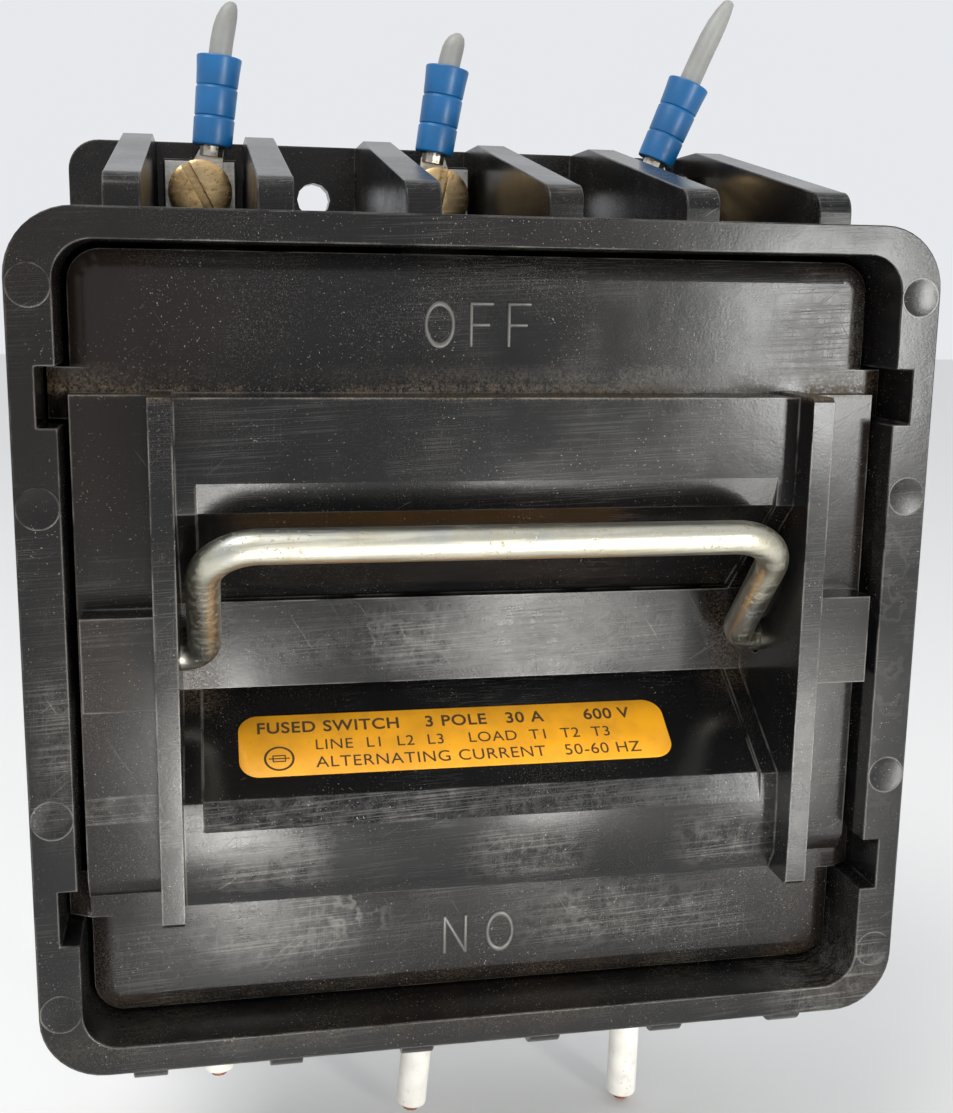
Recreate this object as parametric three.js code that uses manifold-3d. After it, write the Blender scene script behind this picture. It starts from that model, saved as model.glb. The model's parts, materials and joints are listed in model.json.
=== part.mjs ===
// Three-pole pull-out fused disconnect switch, 30 A class, for class J cartridge fuses.
// Millimetres, +Z up, +X right, the front faces -Y. The origin is the middle of the flat back face.
// The pull-out head is seated in its OFF position and the wire bail stands half raised.

import * as THREE from 'three';
import { mergeVertices } from 'three/addons/utils/BufferGeometryUtils.js';
import Module from 'manifold-3d';

const wasm = await Module();
wasm.setup();

// ---------------------------------------------------------------- driving dimensions
const DEPTH = 72;              // rim front to back face
const POLE_PITCH = 38.1;       // pole to pole
const BARRIER_PITCH = POLE_PITCH / 2;
const GAP = 0.3;               // air left between touching pieces

const RIM_WIDTH = 123.4;
const RIM_HEIGHT = 115.4;
const RIM_RADIUS = 8.7;
const OPENING_WIDTH = 111.9;
const OPENING_HEIGHT = 107.4;
const OPENING_RADIUS = 5;
const KEYWAY_REACH = 58.45;    // half width across the four keyways
const KEYWAY_HEIGHT = 7.6;
const KEYWAY_DEPTH = 47;
const KEY_Z = 34.5;            // keyway centre above and below the middle
const PLATE_WIDTH = 119;
const PLATE_HEIGHT = 144;
const PLATE_THICKNESS = 4.5;
const FLOOR_DEPTH = 63.5;      // cavity floor behind the rim plane
const WALL_TOP_Z = RIM_HEIGHT / 2;
const MOUNT_HOLE = 5.6;
const MOUNT_HOLE_Z = 63.2;
const PHASE_WALL = 3;          // between the poles, behind the head

const BARRIER_THICKNESS = 4.7;
const BARRIER_FRONT = 4.5;
const BARRIER_FRONT_Z = 62.4;
const BARRIER_BACK_DEPTH = 56;
const BARRIER_ROUND = 3;

const TERMINAL_DEPTH = 54.8;   // front of the terminal plates
const TERMINAL_Z = 62.9;
const TERMINAL_TOP_Z = 67.9;
const TERMINAL_PAD_WIDTH = 11.6;
const STRIP_WIDTH = 11;
const STRIP_THICKNESS = 1.6;
const STRIP_BEND_Z = 51.9;     // where a contact strip turns from the terminal to the cavity floor
const SCREW_CLEARANCE = 2.7;   // radius of the terminal screw holes
const BLADE_OFFSET = 12;       // blades sit this far right of the pole, jaws this far left
const GRIP_BOTTOM_Z = 14.7;    // clips, blades and jaws share one height
const GRIP_TOP_Z = 26.7;
const GRIP_Z = (GRIP_BOTTOM_Z + GRIP_TOP_Z) / 2;
const FOOT_HOLE = 2.2;         // radius of the contact foot screw holes

const HEAD_WIDTH = 110.2;
const HEAD_HEIGHT = 105.8;
const HEAD_RADIUS = 4.4;
const HEAD_BACK = 43.7;
const HEAD_WALL = 3;
const FRONT_SHELL = 3.2;       // moulded thickness behind the faces
const BAND_DEPTH = 7.4;        // face of the OFF and ON bands
const BAND_CHAMFER = 3;
const BAND_CHAMFER_DEPTH = 1.7;
const MIDDLE_HALF_HEIGHT = 34.5;
const WING_DEPTH = 5;
const RIB_DEPTH = -4.5;
const RIB_INNER_X = 42;
const RIB_OUTER_X = 45;
const PAD_HALF_HEIGHT = 6.3;
const PAD_OUTER_X = 54.4;
const PEDESTAL_TOP_Z = 4.4;
const PEDESTAL_BOTTOM_Z = -8.3;
const PEDESTAL_DEPTH = 16.4;
const MOUTH_Z = 23.5;          // upper and lower lips of the finger channel
const LIP_HEIGHT = 4.0;        // strip inside each lip that leans back a little
const LIP_DEPTH = 1.0;
const STRIP_FRONT_Z = 22.9;    // the side strips start a little inside the lips
const STRIP_LIP_DEPTH = 0.3;
const RECESS_HALF_WIDTH = 39.4;
const RECESS_STEP = 1.8;       // the wide slopes lie this much behind the pedestal
const CHANNEL_BACK = 21;
const PARTITION = 2.5;         // walls between the fuse bays
const POST_WIDTH = 12;
const CLIP_SCREW_HOLE = 1.9;   // radius of the holes in the clip posts
const OVERCUT = 1;             // how far a cutting tool runs past the face it opens

const WIRE_DIAMETER = 4.6;
const PIVOT_DEPTH = 11.5;
const PIVOT_Z = -1.8;
const BAIL_LENGTH = 24.4;      // pivot to the middle of the grip bar
const BAIL_REST_ANGLE = 47.5;  // degrees above straight out
const BAIL_LEG_X = 38.8;
const BAIL_PIN_END_X = 46.4;
const PIVOT_HOLE = 5.4;

const FUSE_DEPTH = 33.4;
const FUSE_LENGTH = 57.2;
const FERRULE_DIAMETER = 20.6;
const FERRULE_LENGTH = 15.9;
const FUSE_TUBE_DIAMETER = 19;
const CLIP_THICKNESS = 1.2;
const CLIP_SCREW_Z = 32.8;
const CLIP_ARM_BACK = 42.5;
const BLADE_THICKNESS = 2;
const BLADE_TIP_DEPTH = 60;

const LABEL = { width: 62.2, height: 10.7, radius: 2.8, thickness: 0.3, x: -3.4, z: -14.65 };

const POLES = [1, 2, 3].map((number) => ({ number, x: (number - 2) * POLE_PITCH }));

// ---------------------------------------------------------------- finishes
function finish(color, roughness, metalness) {
  return new THREE.MeshStandardMaterial({ color, roughness, metalness });
}

const phenolic = finish(0x2b2826, 0.42, 0);
const zincSteel = finish(0xa7a69c, 0.34, 0.9);
const brass = finish(0xa8874c, 0.38, 0.9);
const tinnedCopper = finish(0x9c9488, 0.4, 0.85);
const springCopper = finish(0xa5653c, 0.36, 0.9);
const bareCopper = finish(0xb06a3e, 0.35, 0.9);
const blueVinyl = finish(0x1668b8, 0.45, 0);
const greyInsulation = finish(0x8d8f90, 0.55, 0);
const whiteInsulation = finish(0xdcdad2, 0.5, 0);
const fuseTube = finish(0xd9d2be, 0.6, 0);
const labelFoil = finish(0xf2a818, 0.5, 0);

// ---------------------------------------------------------------- solids
function toSolid(geometry) {
  const bare = geometry.index ? geometry.toNonIndexed() : geometry.clone();
  bare.deleteAttribute('normal');
  bare.deleteAttribute('uv');
  const merged = mergeVertices(bare, 1e-4);
  const mesh = new wasm.Mesh({
    numProp: 3,
    vertProperties: new Float32Array(merged.attributes.position.array),
    triVerts: new Uint32Array(merged.index.array),
  });
  return new wasm.Manifold(mesh);
}

function toGeometry(solid) {
  const { vertProperties, triVerts } = solid.getMesh();
  const geometry = new THREE.BufferGeometry();
  geometry.setAttribute('position', new THREE.BufferAttribute(vertProperties, 3));
  geometry.setIndex(new THREE.BufferAttribute(triVerts, 1));
  geometry.computeVertexNormals();
  return geometry;
}

function join(...solids) {
  return solids.reduce((whole, solid) => whole.add(solid));
}

function cut(body, ...tools) {
  return tools.reduce((left, tool) => left.subtract(tool), body);
}

// Extrusion along one axis. Outlines are given as (y, z) for x, (z, x) for y and (x, y) for z.
const EXTRUSION_AXES = {
  x: [new THREE.Vector3(0, 1, 0), new THREE.Vector3(0, 0, 1), new THREE.Vector3(1, 0, 0)],
  y: [new THREE.Vector3(0, 0, 1), new THREE.Vector3(1, 0, 0), new THREE.Vector3(0, 1, 0)],
  z: [new THREE.Vector3(1, 0, 0), new THREE.Vector3(0, 1, 0), new THREE.Vector3(0, 0, 1)],
};

function prism(axis, shape, from, to, curveSegments = 4) {
  const settings = { depth: to - from, bevelEnabled: false, curveSegments };
  const geometry = new THREE.ExtrudeGeometry(shape, settings);
  geometry.translate(0, 0, from);
  geometry.applyMatrix4(new THREE.Matrix4().makeBasis(...EXTRUSION_AXES[axis]));
  return toSolid(geometry);
}

function outline(points) {
  return new THREE.Shape(points.map(([a, b]) => new THREE.Vector2(a, b)));
}

function box(x0, x1, depth0, depth1, z0, z1) {
  const geometry = new THREE.BoxGeometry(x1 - x0, depth1 - depth0, z1 - z0);
  geometry.translate((x0 + x1) / 2, behindRim((depth0 + depth1) / 2), (z0 + z1) / 2);
  return toSolid(geometry);
}

// y of a point that lies a given depth behind the front plane of the rim
function behindRim(depth) {
  return depth - DEPTH;
}

// side view outline from points given as depth behind the rim and height
function depthProfile(points) {
  return outline(points.map(([depth, z]) => [behindRim(depth), z]));
}

// side = -1 or 1: the stretch between two distances from the middle, lowest first
function spanOn(side, inner, outer) {
  return [side * inner, side * outer].sort((a, b) => a - b);
}

function roundedOutline(across, up, radius) {
  const a = across / 2 - radius;
  const b = up / 2 - radius;
  const shape = new THREE.Shape();
  shape.absarc(a, b, radius, 0, Math.PI / 2);
  shape.absarc(-a, b, radius, Math.PI / 2, Math.PI);
  shape.absarc(-a, -b, radius, Math.PI, 1.5 * Math.PI);
  shape.absarc(a, -b, radius, 1.5 * Math.PI, 2 * Math.PI);
  return shape;
}

// rounded rectangle across the front, centred on the middle of the switch
function roundedSlab(width, height, radius, depth0, depth1) {
  return prism('y', roundedOutline(height, width, radius), behindRim(depth0), behindRim(depth1), 5);
}

function rod(from, to, radius, sides = 12) {
  const axis = new THREE.Vector3().subVectors(to, from);
  const geometry = new THREE.CylinderGeometry(radius, radius, axis.length(), sides);
  geometry.translate(0, axis.length() / 2, 0);
  geometry.applyQuaternion(new THREE.Quaternion().setFromUnitVectors(
    new THREE.Vector3(0, 1, 0), axis.clone().normalize()));
  geometry.translate(from.x, from.y, from.z);
  return toSolid(geometry);
}

function depthRod(x, z, radius, depth0, depth1, sides = 12) {
  return rod(new THREE.Vector3(x, behindRim(depth0), z), new THREE.Vector3(x, behindRim(depth1), z),
    radius, sides);
}

// the same solid upside down, for the load side below the middle
function mirrorZ(solid) {
  return solid.mirror([0, 0, 1]);
}

const assembly = new THREE.Group();

function addPart(name, solid, material) {
  const mesh = new THREE.Mesh(toGeometry(solid), material);
  mesh.name = name;
  assembly.add(mesh);
}

// ---------------------------------------------------------------- base housing
function barrier(x) {
  const front = behindRim(BARRIER_FRONT);
  const back = 0.5 - PLATE_THICKNESS;
  const foot = WALL_TOP_Z - 1;
  const cornerZ = BARRIER_FRONT_Z - BARRIER_ROUND;
  const shape = new THREE.Shape();
  shape.moveTo(front, foot);
  shape.lineTo(front, cornerZ);
  shape.absarc(front + BARRIER_ROUND, cornerZ, BARRIER_ROUND, Math.PI, Math.PI / 2, true);
  shape.lineTo(behindRim(BARRIER_BACK_DEPTH), PLATE_HEIGHT / 2);
  shape.lineTo(back, PLATE_HEIGHT / 2);
  shape.lineTo(back, foot);
  return prism('x', shape, x - BARRIER_THICKNESS / 2, x + BARRIER_THICKNESS / 2);
}

// the pad that a terminal plate lies on, with the slot and holes that its contact strip needs
function terminalBay(x) {
  const padFront = TERMINAL_DEPTH + STRIP_THICKNESS + GAP;
  const halfPad = TERMINAL_PAD_WIDTH / 2;
  const halfSlot = STRIP_WIDTH / 2 + GAP;
  const pad = box(x - halfPad, x + halfPad, padFront, DEPTH - 1, WALL_TOP_Z - 1, TERMINAL_TOP_Z + 0.5);
  const stripSlot = box(x - halfSlot, x + halfSlot, TERMINAL_DEPTH - GAP, padFront,
    OPENING_HEIGHT / 2 - 2, WALL_TOP_Z + 2);
  const screwHole = depthRod(x, TERMINAL_Z, SCREW_CLEARANCE, TERMINAL_DEPTH, DEPTH - 3);
  const footHole = depthRod(x, GRIP_Z, FOOT_HOLE, FLOOR_DEPTH - OVERCUT, DEPTH - 2);
  return { pad, tools: [stripSlot, screwHole, footHole] };
}

function keyway(side, end) {
  const [x0, x1] = spanOn(side, OPENING_WIDTH / 2 - 2, KEYWAY_REACH);
  const middle = end * KEY_Z;
  return box(x0, x1, -OVERCUT, KEYWAY_DEPTH, middle - KEYWAY_HEIGHT / 2, middle + KEYWAY_HEIGHT / 2);
}

function phaseWall(side) {
  const [x0, x1] = spanOn(side, BARRIER_PITCH - PHASE_WALL / 2, BARRIER_PITCH + PHASE_WALL / 2);
  const reach = OPENING_HEIGHT / 2 + 1;
  return box(x0, x1, KEYWAY_DEPTH, FLOOR_DEPTH + 1, -reach, reach);
}

function baseHousing() {
  const walls = roundedSlab(RIM_WIDTH, RIM_HEIGHT, RIM_RADIUS, 0, DEPTH - PLATE_THICKNESS + 0.5);
  const plate = roundedSlab(PLATE_WIDTH, PLATE_HEIGHT, 5, DEPTH - PLATE_THICKNESS, DEPTH);
  const added = [plate];
  const tools = [roundedSlab(OPENING_WIDTH, OPENING_HEIGHT, OPENING_RADIUS, -OVERCUT, FLOOR_DEPTH)];
  for (const side of [-1, 1]) {
    for (const end of [-1, 1]) {
      const mountHole = depthRod(side * BARRIER_PITCH, end * MOUNT_HOLE_Z, MOUNT_HOLE / 2,
        DEPTH - PLATE_THICKNESS - OVERCUT, DEPTH + OVERCUT);
      tools.push(keyway(side, end), mountHole);
    }
  }
  for (const step of [-2.5, -1.5, -0.5, 0.5, 1.5, 2.5]) {
    const fin = barrier(step * BARRIER_PITCH);
    added.push(fin, mirrorZ(fin));
  }
  for (const pole of POLES) {
    const bay = terminalBay(pole.x);
    added.push(bay.pad, mirrorZ(bay.pad));
    tools.push(...bay.tools, ...bay.tools.map(mirrorZ));
  }
  return join(cut(join(walls, ...added), ...tools), phaseWall(-1), phaseWall(1));
}

// ---------------------------------------------------------------- contacts in the base
// A strip runs from the terminal through the wall and down to the cavity floor. Its foot carries
// a spring jaw left of the pole, which takes the head's blade when the head is turned over.
const JAW_FINGER = [             // [distance from the jaw's middle, depth]
  [3.4, FLOOR_DEPTH - GAP - 0.2], [3.4, 55], [1.9, 50.5], [3.2, 47],
  [2.1, 47], [0.8, 50.5], [2.2, 55], [2.2, FLOOR_DEPTH - GAP - 0.2],
];

function lineContact(x) {
  const half = STRIP_WIDTH / 2;
  const front = TERMINAL_DEPTH;
  const back = FLOOR_DEPTH - GAP;
  const strip = prism('x', depthProfile([
    [front, TERMINAL_TOP_Z], [front, STRIP_BEND_Z - STRIP_THICKNESS],
    [back - STRIP_THICKNESS, STRIP_BEND_Z - STRIP_THICKNESS], [back - STRIP_THICKNESS, GRIP_BOTTOM_Z],
    [back, GRIP_BOTTOM_Z], [back, STRIP_BEND_Z],
    [front + STRIP_THICKNESS, STRIP_BEND_Z], [front + STRIP_THICKNESS, TERMINAL_TOP_Z],
  ]), x - half, x + half);
  const jawX = x - BLADE_OFFSET;
  const foot = box(jawX - 4, x, back - STRIP_THICKNESS, back, GRIP_BOTTOM_Z, GRIP_TOP_Z);
  const finger = (side) => prism('z', outline(
    JAW_FINGER.map(([offset, depth]) => [jawX + side * offset, behindRim(depth)]),
  ), GRIP_BOTTOM_Z, GRIP_TOP_Z);
  return cut(join(strip, foot, finger(-1), finger(1)),
    depthRod(x, TERMINAL_Z, SCREW_CLEARANCE, front - OVERCUT, front + STRIP_THICKNESS + OVERCUT),
    depthRod(x, GRIP_Z, FOOT_HOLE, back - STRIP_THICKNESS - OVERCUT, back + OVERCUT));
}

// ---------------------------------------------------------------- screws
const TERMINAL_SCREW = { headRadius: 4.95, headHeight: 2.6, shankRadius: 2.4, shankLength: 13 };
const FOOT_SCREW = { headRadius: 3.6, headHeight: 1.9, shankRadius: 1.9, shankLength: 7.5 };
const CLIP_SCREW = { headRadius: 3.2, headHeight: 1.9, shankRadius: 1.6, shankLength: 8 };
const SLOT_WIDTH = 1.2;

// slotted pan head facing the front, with the underside of the head at y = 0
function slottedScrew({ headRadius, headHeight, shankRadius, shankLength }, slotAngle) {
  const points = [
    [0, -headHeight], [headRadius * 0.75, 0.25 - headHeight], [headRadius, -headHeight * 0.4],
    [headRadius, 0], [shankRadius, 0], [shankRadius, shankLength], [0, shankLength],
  ].map(([radius, along]) => new THREE.Vector2(radius, along));
  const turned = toSolid(new THREE.LatheGeometry(points, 12));
  const slot = toSolid(new THREE.BoxGeometry(headRadius * 2.2, headHeight, SLOT_WIDTH)
    .translate(0, -headHeight, 0)
    .rotateY(THREE.MathUtils.degToRad(slotAngle)));
  return cut(turned, slot);
}

function terminalScrew(x, z, slotAngle) {
  const seat = LUG_RING_DEPTH - GAP;
  return slottedScrew(TERMINAL_SCREW, slotAngle).translate([x, behindRim(seat), z]);
}

function footScrew(x, z, slotAngle) {
  const seat = FLOOR_DEPTH - GAP - STRIP_THICKNESS - GAP;
  return slottedScrew(FOOT_SCREW, slotAngle).translate([x, behindRim(seat), z]);
}

// ---------------------------------------------------------------- line lugs, sleeves and wire stubs
// Each lug leaves its screw at its own lean, and the sleeve and the wire stub follow it.
const LUGS = [
  { lean: 6, forward: 1, shift: 2.0, stub: 8.4 },
  { lean: 9, forward: 1, shift: -0.4, stub: 5.6 },
  { lean: 22, forward: 4, shift: -0.6, stub: 14.6 },
];
const LUG_THICKNESS = 0.9;
const LUG_RING_DEPTH = TERMINAL_DEPTH - GAP - LUG_THICKNESS;
const SLEEVE_START_Z = 70.2;
const SLEEVE_LENGTH = 13.6;
const BARREL_END = 6;          // the lug's barrel reaches this far into its sleeve
const STUB_RADIUS = 1.8;
const STUB_TAPER = 2.2;

function leanDirection(lug) {
  const lean = THREE.MathUtils.degToRad(lug.lean);
  const forward = THREE.MathUtils.degToRad(lug.forward);
  return new THREE.Vector3(Math.sin(lean), -Math.sin(forward), Math.cos(lean)).normalize();
}

function alongLug(x, lug, distance) {
  const start = new THREE.Vector3(x + lug.shift, behindRim(LUG_RING_DEPTH + 0.4), SLEEVE_START_Z);
  return start.addScaledVector(leanDirection(lug), distance);
}

function screwHoleIn(x, z) {
  return depthRod(x, z, SCREW_CLEARANCE, LUG_RING_DEPTH - OVERCUT, LUG_RING_DEPTH + LUG_THICKNESS + OVERCUT);
}

function lineLug(x, lug) {
  const ringBack = LUG_RING_DEPTH + LUG_THICKNESS;
  const ring = depthRod(x, TERMINAL_Z, 4.6, LUG_RING_DEPTH, ringBack);
  const neckTop = alongLug(x, lug, -1.2);
  const neck = prism('y', outline([
    [TERMINAL_Z + 1, x - 3.2], [neckTop.z + 0.6, neckTop.x - 1.9],
    [neckTop.z + 0.6, neckTop.x + 1.9], [TERMINAL_Z + 1, x + 3.2],
  ]), behindRim(LUG_RING_DEPTH), behindRim(ringBack));
  const barrel = rod(alongLug(x, lug, -1.6), alongLug(x, lug, BARREL_END), 1.9, 10);
  return cut(join(ring, neck, barrel), screwHoleIn(x, TERMINAL_Z));
}

// a turned piece whose axis leaves the lug's start at the lug's lean
function turnedAlongLug(points, x, lug, distance) {
  const profile = points.map(([radius, along]) => new THREE.Vector2(radius, along));
  const geometry = new THREE.LatheGeometry(profile, 10);
  geometry.applyQuaternion(new THREE.Quaternion().setFromUnitVectors(
    new THREE.Vector3(0, 1, 0), leanDirection(lug)));
  const start = alongLug(x, lug, distance);
  geometry.translate(start.x, start.y, start.z);
  return toSolid(geometry);
}

// flared end up, with two pressed waists
function lineSleeve(x, lug) {
  const bore = 2.25;
  return turnedAlongLug([
    [bore, 0], [3.15, 0], [3.15, 4.0], [2.95, 4.5], [3.2, 5], [3.2, 8.6], [3.0, 9.1], [3.35, 9.6],
    [3.55, SLEEVE_LENGTH], [bore, SLEEVE_LENGTH], [bore, 0],
  ], x, lug, 0);
}

// a tapered stub of stiff wire that stops just short of the lug's barrel
function lineWire(x, lug) {
  const start = BARREL_END + 0.4;
  const total = SLEEVE_LENGTH - start + lug.stub;
  return turnedAlongLug([
    [0, 0], [STUB_RADIUS, 0], [STUB_RADIUS, total - STUB_TAPER],
    [STUB_RADIUS * 0.6, total - STUB_TAPER * 0.3], [STUB_RADIUS * 0.3, total], [0, total],
  ], x, lug, start);
}

// ---------------------------------------------------------------- load wires
// Cut stubs of building wire, each hanging from its screw at its own lean.
const LOAD_WIRES = [
  { lean: 0, end: 90.4 },
  { lean: 5, end: 101 },
  { lean: 1, end: 103 },
];
const LOAD_WIRE_DEPTH = TERMINAL_DEPTH - 2.1;
const INSULATION_RADIUS = 2.75;
const CONDUCTOR_RADIUS = 1.45;
const INSULATION_START = 71;

function loadPoint(x, wire, z) {
  const run = (z - TERMINAL_Z) * Math.tan(THREE.MathUtils.degToRad(wire.lean));
  return new THREE.Vector3(x - 0.2 - run, behindRim(LOAD_WIRE_DEPTH), -z);
}

function loadWire(x, wire) {
  const sheath = rod(loadPoint(x, wire, INSULATION_START), loadPoint(x, wire, wire.end - 1.2),
    INSULATION_RADIUS);
  const bore = rod(loadPoint(x, wire, INSULATION_START - 3), loadPoint(x, wire, wire.end + 3),
    CONDUCTOR_RADIUS + GAP);
  return cut(sheath, bore);
}

// the bared end, flattened into an eye under the screw
function loadConductor(x, wire) {
  const back = LUG_RING_DEPTH + LUG_THICKNESS;
  const eye = depthRod(x, -TERMINAL_Z, 4.4, LUG_RING_DEPTH, back);
  const tongue = box(x - 1.6, x + 1.6, LUG_RING_DEPTH, back, -TERMINAL_Z - 8, -TERMINAL_Z - 3.4);
  const core = rod(loadPoint(x, wire, TERMINAL_Z + 5.6), loadPoint(x, wire, wire.end), CONDUCTOR_RADIUS);
  return cut(join(eye, tongue, core), screwHoleIn(x, -TERMINAL_Z));
}

// ---------------------------------------------------------------- pull-out head
const BAND_BACK = BAND_DEPTH + FRONT_SHELL;
const HOLLOW_Z = HEAD_HEIGHT / 2 - HEAD_WALL;
const MIDDLE_HOLLOW_Z = MIDDLE_HALF_HEIGHT - HEAD_WALL;
const POCKET_OUTER_X = HEAD_WIDTH / 2 - HEAD_WALL;

// one fuse bay's hollow behind the faces and the finger channel, as depth and height
const BAY_HOLLOW = [
  [HEAD_BACK + OVERCUT, HOLLOW_Z], [BAND_BACK, HOLLOW_Z], [BAND_BACK, MIDDLE_HOLLOW_Z],
  [FRONT_SHELL, MIDDLE_HOLLOW_Z], [FRONT_SHELL, MOUTH_Z + 0.9], [CHANNEL_BACK, PEDESTAL_TOP_Z + 1.1],
  [CHANNEL_BACK, PEDESTAL_BOTTOM_Z - 1.4], [FRONT_SHELL, -MOUTH_Z - 0.5],
  [FRONT_SHELL, -MIDDLE_HOLLOW_Z], [BAND_BACK, -MIDDLE_HOLLOW_Z], [BAND_BACK, -HOLLOW_Z],
  [HEAD_BACK + OVERCUT, -HOLLOW_Z],
];

// the whole head's outline, with the OFF and ON bands' edges bevelled
function chamferedSlab() {
  const inset = 2 * BAND_CHAMFER;
  const shape = roundedOutline(HEAD_HEIGHT - inset, HEAD_WIDTH - inset, HEAD_RADIUS - BAND_CHAMFER);
  const geometry = new THREE.ExtrudeGeometry(shape, {
    depth: HEAD_BACK - BAND_DEPTH, bevelEnabled: true, bevelThickness: BAND_CHAMFER_DEPTH,
    bevelSize: BAND_CHAMFER, bevelSegments: 1, curveSegments: 4,
  });
  geometry.translate(0, 0, behindRim(BAND_DEPTH + BAND_CHAMFER_DEPTH));
  geometry.applyMatrix4(new THREE.Matrix4().makeBasis(...EXTRUSION_AXES.y));
  return cut(toSolid(geometry), box(-80, 80, HEAD_BACK, HEAD_BACK + 20, -80, 80));
}

// one of the four keys that ride in the housing's keyways
function key(side, end) {
  const reach = KEYWAY_REACH - 0.45;
  const shape = outline([
    [HEAD_WIDTH / 2 - 6, BAND_DEPTH], [reach - BAND_CHAMFER, BAND_DEPTH],
    [reach, BAND_DEPTH + BAND_CHAMFER_DEPTH], [reach, HEAD_BACK - 2], [HEAD_WIDTH / 2 - 6, HEAD_BACK - 2],
  ].map(([x, depth]) => [side * x, behindRim(depth)]));
  const half = KEYWAY_HEIGHT / 2 - 0.4;
  return prism('z', shape, end * KEY_Z - half, end * KEY_Z + half);
}

// step block with the lower edge chamfered, used for the middle section and the wings
function stepBlock(x0, x1, frontDepth) {
  const top = MIDDLE_HALF_HEIGHT;
  return prism('x', depthProfile([
    [frontDepth, top], [frontDepth, -top + BAND_CHAMFER], [frontDepth + BAND_CHAMFER_DEPTH, -top],
    [BAND_DEPTH + 2, -top], [BAND_DEPTH + 2, top],
  ]), x0, x1);
}

function sideRib(x0, x1) {
  const top = MIDDLE_HALF_HEIGHT + 0.3;
  const ease = 0.6;
  return prism('x', depthProfile([
    [RIB_DEPTH, top - ease], [RIB_DEPTH, ease - top], [RIB_DEPTH + ease, -top], [CHANNEL_BACK, -top],
    [CHANNEL_BACK, top], [RIB_DEPTH + ease, top],
  ]), x0, x1);
}

// the finger channel: side strips down to the pedestal, and wider slopes a little deeper
function fingerChannel() {
  const start = -OVERCUT;
  const lip = MOUTH_Z - LIP_HEIGHT;
  const frontReach = MOUTH_Z + OVERCUT * LIP_HEIGHT / LIP_DEPTH;
  const slopeEnd = PEDESTAL_DEPTH + RECESS_STEP;
  const strips = prism('x', depthProfile([
    [start, MOUTH_Z], [0, STRIP_FRONT_Z], [STRIP_LIP_DEPTH, lip], [PEDESTAL_DEPTH, PEDESTAL_TOP_Z],
    [PEDESTAL_DEPTH, PEDESTAL_BOTTOM_Z], [STRIP_LIP_DEPTH, -lip], [0, -STRIP_FRONT_Z], [start, -MOUTH_Z],
  ]), -RIB_INNER_X, RIB_INNER_X);
  const upperSlope = prism('x', depthProfile([
    [start, frontReach], [LIP_DEPTH, lip], [slopeEnd, PEDESTAL_TOP_Z], [start, PEDESTAL_TOP_Z],
  ]), -RECESS_HALF_WIDTH, RECESS_HALF_WIDTH);
  const lowerSlope = prism('x', depthProfile([
    [start, -frontReach], [start, PEDESTAL_BOTTOM_Z], [slopeEnd, PEDESTAL_BOTTOM_Z], [LIP_DEPTH, -lip],
  ]), -RECESS_HALF_WIDTH, RECESS_HALF_WIDTH);
  return [strips, upperSlope, lowerSlope];
}

// hollows beside the outer fuse bays, behind the wings and bands, and the bail's pivot hole
function sideHollows(side) {
  const behindWing = spanOn(side, RIB_OUTER_X, POCKET_OUTER_X);
  const pivot = (x) => new THREE.Vector3(side * x, behindRim(PIVOT_DEPTH), PIVOT_Z);
  return [
    prism('x', depthProfile(BAY_HOLLOW), ...spanOn(side, BARRIER_PITCH + PARTITION / 2, RIB_INNER_X)),
    box(...spanOn(side, RIB_INNER_X - 1, POCKET_OUTER_X), CHANNEL_BACK, HEAD_BACK + OVERCUT,
      -HOLLOW_Z, HOLLOW_Z),
    box(...behindWing, BAND_BACK, CHANNEL_BACK + 1, -HOLLOW_Z, HOLLOW_Z),
    box(...behindWing, WING_DEPTH + HEAD_WALL, BAND_BACK + 0.4, -MIDDLE_HOLLOW_Z, MIDDLE_HOLLOW_Z),
    rod(pivot(RIB_INNER_X - 1), pivot(RIB_OUTER_X + 1), PIVOT_HOLE / 2),
  ];
}

// solid post behind the face that a fuse clip is screwed to
function clipPost(x, end) {
  const inner = 16;
  const outer = 37.6;
  const step = MIDDLE_HALF_HEIGHT - 1;
  const front = FRONT_SHELL / 2;
  const post = prism('x', depthProfile([
    [front, inner], [front, step], [BAND_DEPTH + FRONT_SHELL / 2, step],
    [BAND_DEPTH + FRONT_SHELL / 2, outer], [CHANNEL_BACK, outer], [CHANNEL_BACK, inner],
  ]), x - POST_WIDTH / 2, x + POST_WIDTH / 2);
  return end > 0 ? post : mirrorZ(post);
}

function pulloutHead() {
  const channel = fingerChannel();
  const solids = [chamferedSlab(), stepBlock(-RIB_INNER_X, RIB_INNER_X, 0)];
  const halfBay = BARRIER_PITCH - PARTITION / 2;
  const tools = [...channel, prism('x', depthProfile(BAY_HOLLOW), -halfBay, halfBay)];
  for (const side of [-1, 1]) {
    solids.push(
      stepBlock(...spanOn(side, RIB_OUTER_X - 0.5, HEAD_WIDTH / 2), WING_DEPTH),
      sideRib(...spanOn(side, RIB_INNER_X, RIB_OUTER_X)),
      box(...spanOn(side, RIB_OUTER_X - 0.5, PAD_OUTER_X), 0, WING_DEPTH + 1,
        -PAD_HALF_HEIGHT, PAD_HALF_HEIGHT),
      key(side, 1), key(side, -1));
    tools.push(...sideHollows(side));
  }
  const posts = [];
  const screwHoles = [];
  for (const { x } of POLES) {
    for (const end of [-1, 1]) {
      posts.push(cut(clipPost(x, end), ...channel));
      screwHoles.push(depthRod(x, end * CLIP_SCREW_Z, CLIP_SCREW_HOLE,
        CHANNEL_BACK - 9, CHANNEL_BACK + OVERCUT));
    }
  }
  return cut(join(cut(join(...solids), ...tools), ...posts), ...screwHoles);
}

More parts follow.
